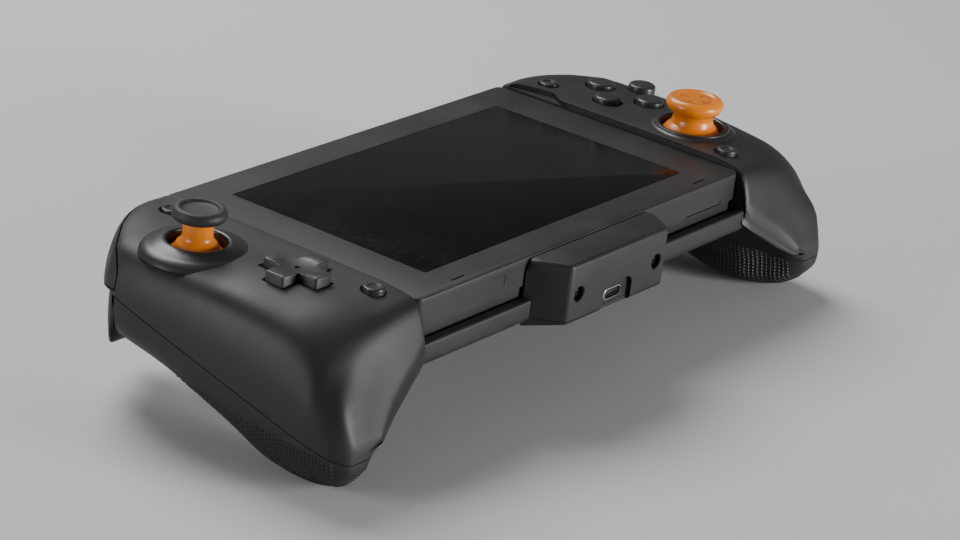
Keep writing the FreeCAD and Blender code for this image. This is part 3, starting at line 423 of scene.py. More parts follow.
def handle_blank(side, wall=0.0):
    """The closed outer form of a handle, or with a wall thickness the room inside it."""
    mesh = bmesh.new()
    loops = []
    for y, points in ROWS[5:-5] if wall else ROWS:
        mid_x = sum(x for x, z in points) / len(points)
        mid_z = sum(z for x, z in points) / len(points)
        half_x = (max(x for x, z in points) - min(x for x, z in points)) / 2
        half_z = (max(z for x, z in points) - min(z for x, z in points)) / 2
        slim = (1 - wall / half_x, 1 - wall / half_z)
        verts = [mesh.verts.new((SIDES[side] * (mid_x + (x - mid_x) * slim[0]) * MM, y * MM,
                                 (mid_z + (z - mid_z) * slim[1]) * MM)) for x, z in points]
        loops.append([mesh.edges.new((verts[k], verts[(k + 1) % len(verts)])) for k in range(len(verts))])
    for first, second in zip(loops, loops[1:]):
        bmesh.ops.bridge_loops(mesh, edges=first + second)
    for loop in (loops[0], loops[-1]):
        cap = bmesh.ops.contextual_create(mesh, geom=loop)["faces"]
        if not wall:
            bmesh.ops.inset_region(mesh, faces=cap, thickness=1.6 * MM, depth=0.7 * MM)
        bmesh.ops.poke(mesh, faces=cap)
    bmesh.ops.recalc_face_normals(mesh, faces=mesh.faces)
    return mesh


def prism(points, low, high, side="right"):
    """A flat outline in millimetres raised between two heights, on either side."""
    mesh = bmesh.new()
    verts = [mesh.verts.new((SIDES[side] * x * MM, y * MM, low * MM)) for x, y in points]
    base = mesh.faces.new(verts)
    top = bmesh.ops.extrude_face_region(mesh, geom=[base])
    moved = [v for v in top["geom"] if isinstance(v, bmesh.types.BMVert)]
    bmesh.ops.translate(mesh, verts=moved, vec=(0, 0, (high - low) * MM))
    bmesh.ops.recalc_face_normals(mesh, faces=mesh.faces)
    return mesh


def side_prism(points, low, high, side="right"):
    """An outline of (y, z) points in millimetres drawn out between two distances from the middle."""
    mesh = bmesh.new()
    verts = [mesh.verts.new((SIDES[side] * low * MM, y * MM, z * MM)) for y, z in points]
    base = mesh.faces.new(verts)
    end = bmesh.ops.extrude_face_region(mesh, geom=[base])
    moved = [v for v in end["geom"] if isinstance(v, bmesh.types.BMVert)]
    bmesh.ops.translate(mesh, verts=moved, vec=(SIDES[side] * (high - low) * MM, 0, 0))
    bmesh.ops.recalc_face_normals(mesh, faces=mesh.faces)
    return mesh


def well(x, y, radius, floor_z, rim_z, chamfer=0.35):
    """A cutter for a round hole with a small chamfered mouth, in millimetres."""
    profile = [(0, floor_z), (radius, floor_z), (radius, rim_z - chamfer), (radius + chamfer, rim_z),
               (radius + chamfer + 0.5, rim_z + 0.5), (radius + chamfer + 0.5, rim_z + 9), (0, rim_z + 9)]
    return spun(profile, x, y, 64)


def cross_outline(reach, half):
    """The corners of a plus sign."""
    a, b = reach, half
    return [(a, -b), (a, b), (b, b), (b, a), (-b, a), (-b, b), (-a, b), (-a, -b), (-b, -b), (-b, -a),
            (b, -a), (b, -b)]


FACE_NODES = [f"face_button_{name}" for name in ("top", "right", "bottom", "left")]
SEAM_Y, SEAM_Z, SEAM_SLOPE, SEAM_GAP = 33.0, -12.0, 0.253, 0.32
BUMPER_EDGE = ((97.5, 60), (98.5, 49.2), (106.5, 46.2), (115.5, 41.4), (126, 33.8), (131.0, 28),
               (145, 26))
BUMPER_GAP, BUMPER_LOW = 0.45, -11.5
LEDGE = ((80.0, 60.0), (84.0, 48.4), (87.2, 47.2), (88.8, 44.6), (90.6, 36.4), (91.4, 32.4), (90.9, 30.0),
         (87.6, 25.4), (86.95, 22.5), (86.0, 20.0), (80.0, 20.0))
TRIGGER_ROOM = ((96.4, 27.0), (145.0, 27.0), (145.0, 70.0), (96.4, 70.0))
SHELL_WALL = 2.2


FACE_HOLE, SMALL_HOLE, STICK_HOLE = 5.15, 3.7, 12.5


def seam_wedge(upper, shift=0.0):
    """Everything above or below the seam, as a cutter."""
    near, far = -120.0, 120.0
    ends = [(y, SEAM_Z + shift + (y - SEAM_Y) * SEAM_SLOPE) for y in (near, far)]
    level = 120.0 if upper else -150.0
    return ends + [(far, level), (near, level)]


def bumper_plan(step):
    """The shoulder key's plan with its inner edge moved in."""
    return [(x - step * 0.55, y - step * 0.83) for x, y in BUMPER_EDGE] + [(145, 60)]


for side, sign in SIDES.items():
    tools = [handle_blank(side, SHELL_WALL),
             prism(bumper_plan(BUMPER_GAP), BUMPER_LOW - BUMPER_GAP, 14, side),
             prism(TRIGGER_ROOM, -90, -12.4, side), prism(LEDGE, 0.55, 14, side)]
    holes = ["minus_button", "capture_button"] if side == "left" else ["plus_button",
            "home_button"] + FACE_NODES
    for node in holes:
        spot = centre(node) / MM
        radius = FACE_HOLE if node in FACE_NODES else SMALL_HOLE
        tools.append(well(spot.x, spot.y, radius, -4, 2.2 if spot.y > -30 else 1.6))
    stick = centre(f"stick_module_{side}") / MM
    tools.append(well(stick.x, stick.y, STICK_HOLE, -4, 2.2, 0.1))
    if side == "left":
        pad = centre("crosspad") / MM
        for reach, low, high in ((0.0, -4.0, 9.0), (0.4, 1.95, 9.0)):
            outline = [(-(pad.x + x), pad.y + y) for x, y in cross_outline(11.1 + reach, 4.2 + reach)]
            tools.append(prism(outline, low, high, side))
    shell = carve(handle_blank(side), tools)
    lower = shell.copy()
    front = carve(shell, [side_prism(seam_wedge(False), 60, 160, side)])
    back = carve(lower, [side_prism(seam_wedge(True, -SEAM_GAP), 60, 160, side)])
    piece(f"handle_front_{side}", front, grip_black, "controller",
          (f"front_shell_{side}",))
    piece(f"handle_back_{side}", back, grip_black, "controller", (f"back_shell_{side}",))

# ---------------------------------------------------------------- shoulder keys
# The upper shoulder keys carry on the handles' outer form past a narrow gap, and tip in on a hidden
# pin.
for side in SIDES:
    key = carve(handle_blank(side), [prism(bumper_plan(0.0), BUMPER_LOW, 14, side)], "INTERSECT")
    piece(f"shoulder_key_{side}", key, grip_black, f"bumper_{side}", (f"bumper_{side}",))

# ---------------------------------------------------------------- triggers
# Curved triggers under the shoulder keys, moulded in one piece and hung on a steel pin.
# Each one pivots near its top and squeezes a small spring seated in the back shell.
TRIGGER_SIDE = ((33.0, -13.5), (40.0, -13.4), (47.4, -13.5), (50.6, -15.2), (51.9, -19.0),
                (52.0, -25.0), (50.6, -31.5),
                (47.2, -36.8), (43.0, -38.6), (38.8, -37.6), (34.6, -33.6), (32.2, -26.5), (31.7, -19.0),
                (32.0, -14.8))
# Across the trigger: distance from the middle, outermost y, and how much the end is drawn in.
TRIGGER_ENDS = ((97.0, 51.0, 0.90), (97.3, 51.0, 0.96), (98.2, 50.8, 1.0), (103.0, 49.6, 1.0),
                (108.0, 47.4, 1.0),
                (112.5, 44.8, 1.0), (117.0, 42.2, 1.0), (120.5, 39.8, 0.99), (123.4, 37.4, 0.97),
                (125.4, 35.4, 0.90), (126.4, 34.0, 0.74))
TRIGGER_BACK, TRIGGER_TOP, TRIGGER_SLOPE = 31.7, -13.4, 0.176
for side, sign in SIDES.items():
    mesh = bmesh.new()
    loops = []
    outline = flowing(TRIGGER_SIDE + TRIGGER_SIDE[:1], 4)[:-1]
    for x, reach, draw in TRIGGER_ENDS:
        tall = (25.2 - (x - 97.0) * TRIGGER_SLOPE) / 25.2
        wide = (reach - TRIGGER_BACK) / (52.0 - TRIGGER_BACK)
        mid_y, mid_z = TRIGGER_BACK + 10 * wide, TRIGGER_TOP - 12 * tall
        ring = []
        for y, z in outline:
            y, z = TRIGGER_BACK + (y - TRIGGER_BACK) * wide, TRIGGER_TOP + (z - TRIGGER_TOP) * tall
            ring.append(mesh.verts.new((sign * x * MM, (mid_y + (y - mid_y) * draw) * MM,
                                        (mid_z + (z - mid_z) * draw) * MM)))
        loops.append([mesh.edges.new((ring[k], ring[(k + 1) % len(ring)])) for k in range(len(ring))])
    for first, second in zip(loops, loops[1:]):
        bmesh.ops.bridge_loops(mesh, edges=first + second)
    for loop in (loops[0], loops[-1]):
        cap = bmesh.ops.contextual_create(mesh, geom=loop)["faces"]
        bmesh.ops.inset_region(mesh, faces=cap, thickness=0.8 * MM, depth=0.25 * MM)
        bmesh.ops.poke(mesh, faces=cap)
    bmesh.ops.recalc_face_normals(mesh, faces=mesh.faces)
    piece(f"trigger_key_{side}", mesh, grip_black, f"trigger_{side}", (f"trigger_{side}",))

# ---------------------------------------------------------------- grip texture
# Small moulded points in rows over the back shells, where the fingers close round the handles.
# They are formed with the shell in one shot, staggered from row to row.
POINT_PITCH, POINT_BASE, POINT_RISE = 1.3, 0.88, 0.42


def section_at(y):
    """The handle's section at any y, between the two nearest rows."""
    for (upper_y, upper_points), (lower_y, lower_points) in zip(ROWS, ROWS[1:]):
        if lower_y <= y <= upper_y:
            t = (upper_y - y) / (upper_y - lower_y)
            return [tuple(a + (b - a) * t for a, b in zip(p, q)) for p,
                    q in zip(upper_points, lower_points)]


def upper_limit(x, y):
    """The height where the points begin, a little under the seam and lower towards the top of the handle."""
    seam = SEAM_Z + (y - SEAM_Y) * SEAM_SLOPE
    return seam - 1.4 - max(0.0, y + 52) * (0.20 if x > 112 else 0.05)


for side, sign in SIDES.items():
    points = bmesh.new()
    steps = int((6.0 + 61.0) / POINT_PITCH)
    for row in range(steps):
        y = 6.0 - row * POINT_PITCH
        here, further = section_at(y), section_at(y - 0.4)
        loop = list(zip(here, here[1:] + here[:1], further))
        walked, due = 0.0, 0.5 * POINT_PITCH * (row % 2)
        for (x0, z0), (x1, z1), (fx, fz) in loop:
            length = ((x1 - x0) ** 2 + (z1 - z0) ** 2) ** 0.5
            while due < walked + length:
                t = (due - walked) / length
                x, z = x0 + (x1 - x0) * t, z0 + (z1 - z0) * t
                due += POINT_PITCH
                if z > upper_limit(x, y) or x < 92:
                    continue
                along = Vector((x1 - x0, 0, z1 - z0)).normalized()
                down = Vector((fx - x0, -0.4, fz - z0))
                out = along.cross(down).normalized()
                if out.dot(Vector((x - 112, 0, z + 25))) < 0:
                    out = -out
                side_way = along
                third = out.cross(side_way).normalized()
                frame_of = Matrix((side_way, third, out)).transposed().to_4x4()
                frame_of.translation = Vector((x, y, z)) + out * (POINT_RISE / 2 - 0.12)
                if sign < 0:
                    frame_of = Matrix.Diagonal((-1, 1, 1, 1)) @ frame_of
                bmesh.ops.create_cone(points, cap_ends=True, cap_tris=False, segments=4,
                                      radius1=POINT_BASE,
                                      radius2=0.12, depth=POINT_RISE + 0.12,
                                      matrix=Matrix.Scale(MM, 4) @ frame_of)
            walked += length
    bmesh.ops.recalc_face_normals(points, faces=points.faces)
    piece(f"grip_points_{side}", points, grip_black, "controller", sharp=15)

# ---------------------------------------------------------------- stick rings
# A raised collar round each stick, a separate smooth black moulding clipped into the front shell.
# Its inner lip closes the gap round the stick's dome.
ring_black = plastic("ring_black", (0.018, 0.018, 0.019), (0.05, 0.05, 0.05), 0.36, 0.8, 0.008, 0.3,
                     0.05, coat=0.15)
STICK_SPOT = {side: centre(f"stick_module_{side}") / MM for side in SIDES}
STICK_SPOT["left"].x, STICK_SPOT["left"].y = centre("stick_cap_left").x / MM, centre("stick_cap_left").y / MM
STICK_SPOT["right"].x, STICK_SPOT["right"].y = centre("stick_cap_right").x / MM, centre("stick_cap_right").y / MM
rings = []
for side, hole, outer, crown, low in (("left", 9.15, 15.6, 4.0, 0.01), ("right", 10.85, 14.2, 3.3, 0.5)):
    slope = [(hole, crown - 0.9), (hole + 0.12, crown - 0.42), (hole + 0.5, crown - 0.1),
             (hole + 1.1, crown),
             (hole + 1.9, crown - 0.12), ((hole + outer) / 2 + 0.3, (crown + 2.2) / 2 + 0.25),
             (outer - 1.0, 2.5), (outer, 2.12), (outer + 1.4, 1.2), (outer + 2.4, -0.2)]
    profile = [(hole, low)] + flowing(slope, 3) + [(outer, -0.9), (12.4, -0.5), (12.4, low - 0.6),
                                                   (hole, low)]
    rings.append(spun(profile, STICK_SPOT[side].x, STICK_SPOT[side].y, 96))
piece("stick_collars", joined(*rings), ring_black, "controller", ("stick_rings",))

# ---------------------------------------------------------------- left stick
# An orange dome and neck that tilt in the ring, with a soft black cap pressed on: a rolled rim
# round a shallow dish.
orange = plastic("orange_gloss", (0.78, 0.205, 0.003), (0.86, 0.27, 0.015), 0.33, 0.6, 0.003, 0.25,
                 0.04, coat=0.35)
cap_rubber = plastic("cap_rubber", (0.016, 0.016, 0.016), (0.06, 0.06, 0.06), 0.55, 0.7, 0.012, 0.5, 0.15)
PIVOT_Z = -6.0


def dome(radius, first, last, steps):
    """Points on the dome about the pivot, by angle from the top."""
    angles = [radians(first + (last - first) * k / steps) for k in range(steps + 1)]
    return [(radius * sin(a), PIVOT_Z + radius * cos(a)) for a in angles]


x, y = STICK_SPOT["left"].x, STICK_SPOT["left"].y
neck = [(0, 10.1), (4.8, 10.1), (4.75, 8.6), (4.7, 6.6), (4.72, 5.4), (4.95, 4.55), (5.6, 3.75),
        (6.3, 3.05)]
profile = neck[:2] + flowing(neck[2:], 3) + dome(10.5, 40, 76, 10) + dome(9.3, 75, 5, 12) + [(0, 3.25)]
piece("stick_neck_left", spun(profile, x, y, 96), orange, "stick_left",
      ("stick_skirt_left",))
cap = [(0, 13.4), (2.6, 13.43), (4.7, 13.55), (5.5, 13.8), (5.9, 14.25), (6.4, 14.48), (7.2, 14.4),
       (7.95, 13.9),
       (8.37, 13.1), (8.45, 12.3), (8.2, 11.4), (7.5, 10.75), (6.4, 10.35), (5.2, 10.12)]
piece("stick_cap_soft_left", spun(flowing(cap, 4) + [(0, 10.1)], x, y, 96), cap_rubber, "stick_left",
      ("stick_cap_left",))

# ---------------------------------------------------------------- right stick
# A taller all-orange stick moulded in one piece: dome, thick waisted neck, and a rolled cap with
# marks in its dish.
x, y = STICK_SPOT["right"].x, STICK_SPOT["right"].y
cap = [(0, 12.35), (3.0, 12.36), (5.6, 12.42), (6.6, 12.62), (7.2, 12.98), (7.8, 13.08), (8.7, 12.85),
       (9.6, 12.1),
       (10.0, 11.1), (9.8, 9.8), (9.1, 8.8), (8.0, 8.05), (7.3, 7.3), (7.0, 6.4), (6.95, 5.6),
       (7.15, 4.9)]
profile = flowing(cap, 4) + dome(12.2, 37, 76, 12) + dome(11.0, 75, 5, 12) + [(0, 4.95)]
stick = spun(profile, x, y, 96)
marks = []
for turn in range(4):
    mark = slab((2.6, -0.28, 12.1), (4.6, 0.28, 13.2), 0.2)
    for vert in mark.verts:
        vert.co = Matrix.Translation((x * MM, y * MM, 0)) @ Matrix.Rotation(turn * pi / 2, 4,
                "Z") @ vert.co
    marks.append(mark)
groove = spun([(5.0, 12.2), (5.35, 12.2), (5.35, 13.4), (5.0, 13.4), (5.0, 12.2)], x, y, 96)
piece("stick_cap_orange_right", carve(stick, marks + [groove]), orange, "stick_right",
      ("stick_cap_right",))

# ---------------------------------------------------------------- crosspad
# A four-way pad of satin black plastic in one piece, its arms sloping into a round dish with a
# small centre mark.
button_black = plastic("button_black", (0.020, 0.020, 0.021), (0.07, 0.07, 0.07), 0.34, 0.7, 0.006, 0.6,
                       0.08, coat=0.12)
pad = centre("crosspad") / MM
PAD_TOP = 5.1
mesh = prism([(pad.x + a, pad.y + b) for a, b in cross_outline(10.5, 3.6)], -4.2, PAD_TOP)
tall = [e for e in mesh.edges if abs(e.verts[0].co.z - e.verts[1].co.z) > MM]
outer_corners = [e for e in tall if (e.verts[0].co.xy - pad.xy * MM).length > 9 * MM]
bmesh.ops.bevel(mesh, geom=outer_corners, offset=0.9 * MM, segments=4, profile=0.5, affect="EDGES",
                material=-1)
rim = [e for e in mesh.edges if all(v.co.z > (PAD_TOP - 0.01) * MM for v in e.verts)]
bmesh.ops.bevel(mesh, geom=rim, offset=0.5 * MM, segments=3, profile=0.5, affect="EDGES", material=-1)
bmesh.ops.recalc_face_normals(mesh, faces=mesh.faces)
dish_radius = 34.0
dish = bmesh.new()
bmesh.ops.create_uvsphere(dish, u_segments=96, v_segments=64, radius=dish_radius * MM,
                          matrix=Matrix.Translation(
    Vector((pad.x, pad.y, PAD_TOP - 0.7 + dish_radius)) * MM))
dot = spun([(0, 3.7), (0.75, 3.7), (0.95, 4.1), (1.0, 6.0), (0, 6.0)], pad.x, pad.y, 32)
piece("crosspad_top", carve(mesh, [dish, dot]), button_black, "crosspad",
      ("crosspad",), sharp=24)

# ---------------------------------------------------------------- buttons
# Four plain domed face buttons, and four small round keys with a ring and a dish, all in satin
# black plastic.
FACE_BUTTON = [(0, 4.4), (2.4, 4.34), (3.7, 4.2), (4.35, 3.98), (4.72, 3.6), (4.85, 3.1), (4.85, -4.6),
               (0, -4.6)]
SMALL_KEY = [(0, 2.78), (1.5, 2.8), (1.72, 2.86), (1.9, 3.08), (2.15, 3.16), (2.75, 3.18), (3.1, 3.08),
             (3.33, 2.85),
             (3.4, 2.4), (3.4, -4.6), (0, -4.6)]
for node in FACE_NODES + ["minus_button", "plus_button", "capture_button", "home_button"]:
    spot = centre(node) / MM
    shape = FACE_BUTTON if node in FACE_NODES else SMALL_KEY
    profile = flowing(shape[:-2], 3) + shape[-2:]
    piece(node + "_top", spun(profile, spot.x, spot.y, 64), button_black, node, (node,))

# ---------------------------------------------------------------- console case
# A thin tablet: flat front frame, a middle band with its slots, and a slightly smaller rear shell,
# all matt black.
console_black = plastic("console_black", (0.012, 0.012, 0.0125), (0.036, 0.036, 0.036), 0.48, 0.8,
                        0.010, 0.4, 0.06)
low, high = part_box("front_bezel")
frame_top = slab(low / MM, high / MM, 3.0, 0.4)
glass_low, glass_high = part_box("display_glass")
opening = slab((glass_low.x / MM - 0.15, glass_low.y / MM - 0.15, -5),
               (glass_high.x / MM + 0.15, glass_high.y / MM + 0.15, 5),
               1.3)
SLITS = ((-66.6, 6.4), (63.6, 6.4))
slits = [slab((x, -47.6, -0.7), (x + length, -46.9, 4), 0.3) for x, length in SLITS]
piece("console_frame", carve(frame_top, [opening] + slits), console_black, "console",
      ("front_bezel",))
low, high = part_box("middle_band")
band = slab(low / MM, high / MM, 3.0, 0.0)
tools = [slab((s * 86.5 - 1.2, -42, -8.5), (s * 86.5 + 1.2, 42, -2.1), 0.0) for s in (-1, 1)]
tools.append(slab((-43.9, -52, -6.6), (-43.6, -50.2, -2.6)))
tools.append(slab((56.0, -52, -9.35), (77.0, -50.3, -8.95)))
tools.append(slab((76.2, -52, -8.4), (76.9, -50.0, -7.7)))
tools.append(slab((-4.8, -52, -7.5), (4.8, -49, -3.7)))
tools.append(slab((-57.9, 47, -7.4), (-42.1, 52, -3.6)))
tools.append(slab((33.7, 47.4, -8.3), (70.3, 52, -2.7)))
tools += [slab((x, 49.6, -7.6), (x + 1.6, 52, -3.2)) for x in [-16 + 3.2 * k for k in range(11)]]
power = spun([(0, 0), (3.5, 0), (3.5, 6), (0, 6)], 0, 0, 48)
bmesh.ops.rotate(power, verts=power.verts, matrix=Matrix.Rotation(-pi / 2, 3, "X"))
bmesh.ops.translate(power, verts=power.verts, vec=(-66 * MM, 47 * MM, -5.5 * MM))
piece("console_band", carve(band, tools + [power]), console_black, "console",
      ("middle_band",))
low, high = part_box("rear_shell")
piece("console_rear", slab(low / MM, high / MM, 3.0, 0.0), console_black, "console",
      ("rear_shell",))

# ---------------------------------------------------------------- screen
# One sheet of dark glass let into the frame, with a thin bevel round it and the display behind.
# It is bonded flush with the frame's front face.
glass_black = plastic("glass_black", (0.0020, 0.0020, 0.0023), (0.004, 0.004, 0.0045), 0.16, 6.0, 0.0,
                      0.0, 0.01, sheen=0.22)
piece("screen_glass", slab(glass_low / MM, glass_high / MM, 1.2, 0.15), glass_black, "console",
      ("display_glass",))

# ---------------------------------------------------------------- top edge keys
# Power key, volume rocker and card door in the console's top edge.
# All three are small black mouldings held in slots of the middle band.
key = spun([(0, 4.3), (2.2, 4.3), (2.8, 4.15), (3.1, 3.8), (3.2, 3.3), (3.2, 0), (0, 0)], 0, 0, 48)
bmesh.ops.rotate(key, verts=key.verts, matrix=Matrix.Rotation(-pi / 2, 3, "X"))
bmesh.ops.translate(key, verts=key.verts, vec=(-66 * MM, 47.2 * MM, -5.5 * MM))
piece("power_key_top", key, console_black, "power_key", ("power_key",))
for name, node, round_end in (("volume_bar", "volume_rocker", 1.2), ("card_flap", "card_door", 0.8)):
    low, high = (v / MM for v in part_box(node))
    mesh = slab((low.x, -high.z, low.y), (high.x, -low.z, high.y), round_end, 0.35)
    bmesh.ops.rotate(mesh, verts=mesh.verts, matrix=Matrix.Rotation(-pi / 2, 3, "X"))
    piece(name, mesh, console_black, node, (node,))

# ---------------------------------------------------------------- tray
# The plate behind the console that ties the handles together, with rolled edges and a recessed
# panel behind.
low, high = (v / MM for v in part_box("rear_tray"))
plate = slab((low.x, -53.0, low.z), (high.x, high.y, -15.8), 1.5, 1.0, both=True)
LIP_FRONT, LIP_BACK, LIP_TOP = -54.6, -51.2, -12.9
lip = side_prism([(LIP_BACK, LIP_TOP), (LIP_FRONT, LIP_TOP), (LIP_FRONT, low.z), (LIP_BACK, low.z)],
                 low.x, high.x)


def long_edges(mesh, y, z):
    """The edges of a bar along X that lie at one y and z."""
    return [e for e in mesh.edges if all(abs(v.co.y - y * MM) + abs(v.co.z - z * MM) < 1e-6 for v in e.verts)]


for edge_z, offset in ((LIP_TOP, 0.9), (low.z, 3.0)):
    bmesh.ops.bevel(lip, geom=long_edges(lip, LIP_FRONT, edge_z), offset=offset * MM, segments=6,
                    profile=0.5,
                    affect="EDGES", material=-1)
bmesh.ops.bevel(lip, geom=long_edges(lip, LIP_BACK, LIP_TOP), offset=0.5 * MM, segments=3, profile=0.5,
                affect="EDGES", material=-1)
plate = carve(plate, [lip], "UNION")
root = 33.7
gap = slab((-root, -64, -30), (root, -50.4, 0))
panel = [slab((x0, -38, -22), (x1, 34, -20.6), 4.0) for x0, x1 in ((-76, -30), (30, 76))]
grooves = [slab((-22, y - 0.5, -22), (22, y + 0.5, -20.3), 0.45) for y in range(-30, 31, 6)]
piece("tray_plate", carve(plate, [gap] + panel + grooves), grip_black, "controller",
      ("rear_tray",))

# ---------------------------------------------------------------- clasp block
# A wedge-shaped housing screwed in two halves over the console's bottom edge, with the charging
# socket in its face.
FRONT_Y, BACK_Y, HALF, ROOT = -63.6, -51.4, 26.0, 33.6
TOP_Z, SPLIT_Z, FLOOR_Z, TOE_Z = -0.5, -19.4, -23.0, -20.6
SHOULDER, BEVEL = 31.6, 2.8
block = prism([(-HALF, FRONT_Y), (HALF, FRONT_Y), (ROOT, BACK_Y), (-ROOT, BACK_Y)], FLOOR_Z, TOP_Z)
for way in (-1, 1):
    bmesh.ops.bisect_plane(block, geom=block.verts[:] + block.edges[:] + block.faces[:], dist=1e-7,
                           plane_co=(way * SHOULDER * MM, 0, TOP_Z * MM),
                           plane_no=(way * BEVEL, 0, ROOT - SHOULDER),
                           clear_outer=True)
    bmesh.ops.holes_fill(block, edges=[e for e in block.edges if e.is_boundary])
bmesh.ops.bisect_plane(block, geom=block.verts[:] + block.edges[:] + block.faces[:], dist=1e-7,
                       plane_co=(0, FRONT_Y * MM, TOE_Z * MM),
                       plane_no=(0, FLOOR_Z - TOE_Z, FRONT_Y - BACK_Y),
                       clear_outer=True)
bmesh.ops.holes_fill(block, edges=[e for e in block.edges if e.is_boundary])
bmesh.ops.recalc_face_normals(block, faces=block.faces)
bmesh.ops.dissolve_limit(block, angle_limit=radians(0.5), verts=block.verts, edges=block.edges)
outer_edges = [e for e in block.edges if not all(v.co.y > (BACK_Y - 0.01) * MM for v in e.verts)]
bmesh.ops.bevel(block, geom=outer_edges, offset=1.6 * MM, segments=5, profile=0.5, affect="EDGES",
                material=-1,
                clamp_overlap=True)


def facing_front(mesh, x, y, z):
    """Stand a mesh that was made upright so that its top faces the front, and put it in place."""
    bmesh.ops.rotate(mesh, verts=mesh.verts, matrix=Matrix.Rotation(pi / 2, 3, "X"))
    bmesh.ops.translate(mesh, verts=mesh.verts, vec=(x * MM, y * MM, z * MM))
    return mesh


WELL_X, WELL_Z = 21.0, -11.2
tools = [facing_front(spun([(0, -3.0), (2.5, -3.0), (2.5, -0.3), (2.9, 0.05), (3.2, 2), (0, 2)], 0, 0,
                           48),
                      way * WELL_X, FRONT_Y, WELL_Z) for way in (-1, 1)]
dock = slab((-8, -26, -1.5), (8, 0, 6), 3.0)
tools.append(facing_front(dock, 0, FRONT_Y, -12.0))
tools.append(facing_front(slab((-5.0, -2.1, -8), (5.0, 2.1, 3), 2.05), 0, FRONT_Y, -16.7))
housing = carve(block, tools)
lower = housing.copy()
cover = carve(housing, [slab((-60, -90, -60), (60, 0, SPLIT_Z))])
base = carve(lower, [slab((-60, -90, SPLIT_Z - 0.16), (60, 0, 60))])
piece("clasp_cover_shell", cover, grip_black, "controller", ("clasp_cover",))
piece("clasp_base_shell", base, grip_black, "controller", ("clasp_base",))


# ---------------------------------------------------------------- screws
# Cross-head steel screws, blackened, in the clasp block's wells and under the back shells.
# They are driven into moulded bosses and sit below the surface.
def metal(name, color, edge_color, roughness, grain=1.0, depth=0.004):
    """A metal with the same grain and rub marks."""
    material = plastic(name, color, edge_color, roughness, grain, depth, 0.5, 0.05)
    material.node_tree.nodes["Principled BSDF"].inputs["Metallic"].default_value = 1.0
    return material


screw_steel = metal("screw_steel", (0.035, 0.035, 0.037), (0.12, 0.12, 0.12), 0.50)
screws = []
places = [(facing_front, (way * WELL_X, FRONT_Y + 1.5, WELL_Z)) for way in (-1, 1)]
for way in (-1, 1):
    for x, y, z in ((94.2, 18.0, -20.9), (116.0, -24.0, -43.5), (125.0, -4.0, -32.0)):
        places.append((None, (way * x, y, z)))
for stand, (x, y, z) in places:
    head = spun([(0, 0), (1.2, -0.04), (1.8, -0.25), (2.1, -0.7), (2.1, -1.5), (0, -1.5)], 0, 0, 32)
    slots = [slab((-1.2, -0.25, -0.8), (1.2, 0.25, 1)), slab((-0.25, -1.2, -0.8), (0.25, 1.2, 1))]
    head = carve(head, slots)
    if stand:
        stand(head, x, y, z)
    else:
        bmesh.ops.rotate(head, verts=head.verts, matrix=Matrix.Rotation(pi, 3, "X"))
        bmesh.ops.translate(head, verts=head.verts, vec=(x * MM, y * MM, z * MM))
    screws.append(head)
piece("screw_heads", joined(*screws), screw_steel, "controller", ("housing_screws",))

# ---------------------------------------------------------------- charging socket
# A pressed steel oval with a black tongue in it, set back in the clasp block's recess.
# It is soldered to the ribbon that runs through the tray.
steel = metal("bright_steel", (0.55, 0.55, 0.56), (0.75, 0.75, 0.75), 0.28)
shell = facing_front(slab((-4.85, -1.95, 0), (4.85, 1.95, 4.2), 1.9, 0.12), 0, -57.9, -16.7)
bore = facing_front(slab((-4.5, -1.6, 0.6), (4.5, 1.6, 8), 1.55), 0, -57.9, -16.7)
piece("socket_shell", carve(shell, [bore]), steel, "controller", ("charging_port",))
tongue = facing_front(slab((-3.2, -0.4, 0), (3.2, 0.4, 3.2), 0.2, 0.12), 0, -57.9, -16.7)
piece("socket_tongue", tongue, button_black, "controller")

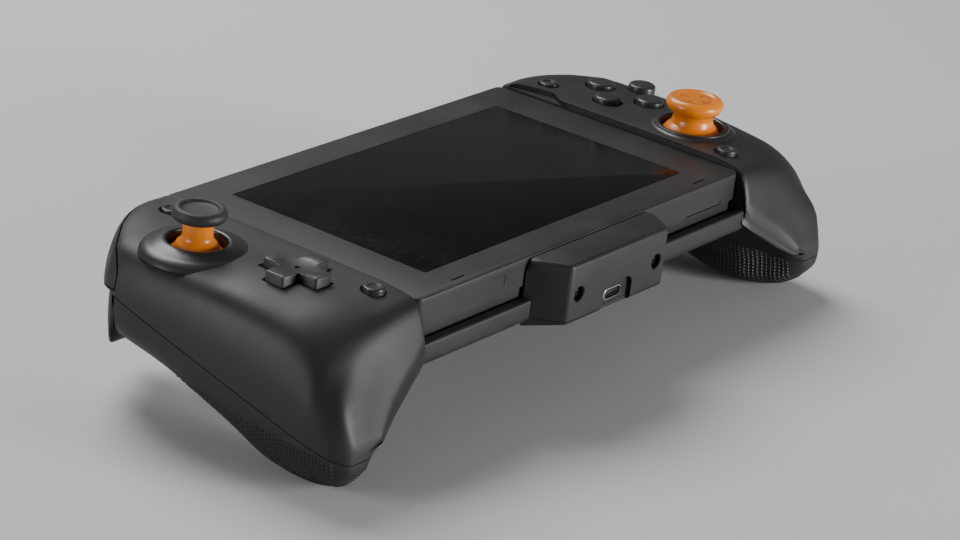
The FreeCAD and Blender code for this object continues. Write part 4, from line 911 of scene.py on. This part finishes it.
# ---------------------------------------------------------------- inner pieces
# What shows only when the console is slid out or a key moves, each in the finish of its own material.
# These are the plain manufactured inner pieces: boards, cells, motors, springs and mats.
def board_green():
    """Solder mask over copper tracks."""
    material = plastic("circuit_green", (0.012, 0.060, 0.030), (0.10, 0.16, 0.06), 0.38, 2.0, 0.006,
                       0.3, 0.05)
    nodes, links = material.node_tree.nodes, material.node_tree.links
    tracks = nodes.new("ShaderNodeTexBrick")
    place = nodes.new("ShaderNodeTexCoord")
    tracks.inputs["Scale"].default_value = 260.0
    tracks.inputs["Mortar Size"].default_value = 0.03
    tracks.inputs["Color1"].default_value = (0.010, 0.055, 0.028, 1)
    tracks.inputs["Color2"].default_value = (0.014, 0.070, 0.034, 1)
    tracks.inputs["Mortar"].default_value = (0.11, 0.16, 0.05, 1)
    links.new(place.outputs["Object"], tracks.inputs["Vector"])
    links.new(tracks.outputs["Color"], nodes["Principled BSDF"].inputs["Base Color"])
    return material


inner_black = plastic("inner_black", (0.03, 0.03, 0.032), (0.07, 0.07, 0.07), 0.55, 1.2, 0.012, 0.2, 0.1)
FINISHES = {
    inner_black: ("crosspad_rocker", "stick_module_left", "stick_module_right", "cooling_fan", "speakers",
                  "stick_gimbal_left", "stick_gimbal_right", "console_plug"),
    steel: ("trigger_pins", "trigger_spring_left", "trigger_spring_right", "console_socket",
            "inner_shield",
            "rumble_motors", "rumble_weight_left", "rumble_weight_right", "stick_spindle_left",
            "stick_spindle_right", "side_rails"),
    board_green(): ("main_board", "control_boards"),
    glass_black: ("display_panel",),
    plastic("battery_wrap", (0.05, 0.05, 0.055), (0.10, 0.10, 0.10), 0.35, 3.0, 0.004): ("battery",),
    plastic("ribbon_film", (0.28, 0.11, 0.03), (0.40, 0.20, 0.06), 0.40, 2.0, 0.003): ("ribbon_cable",),
    plastic("mat_rubber", (0.10, 0.10, 0.105), (0.2, 0.2, 0.2), 0.65, 1.0, 0.010): ("button_mats",),
}
for material, names in FINISHES.items():
    for name in names:
        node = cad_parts[name]
        node.data.materials.clear()
        node.data.materials.append(material)

bpy.context.view_layer.update()
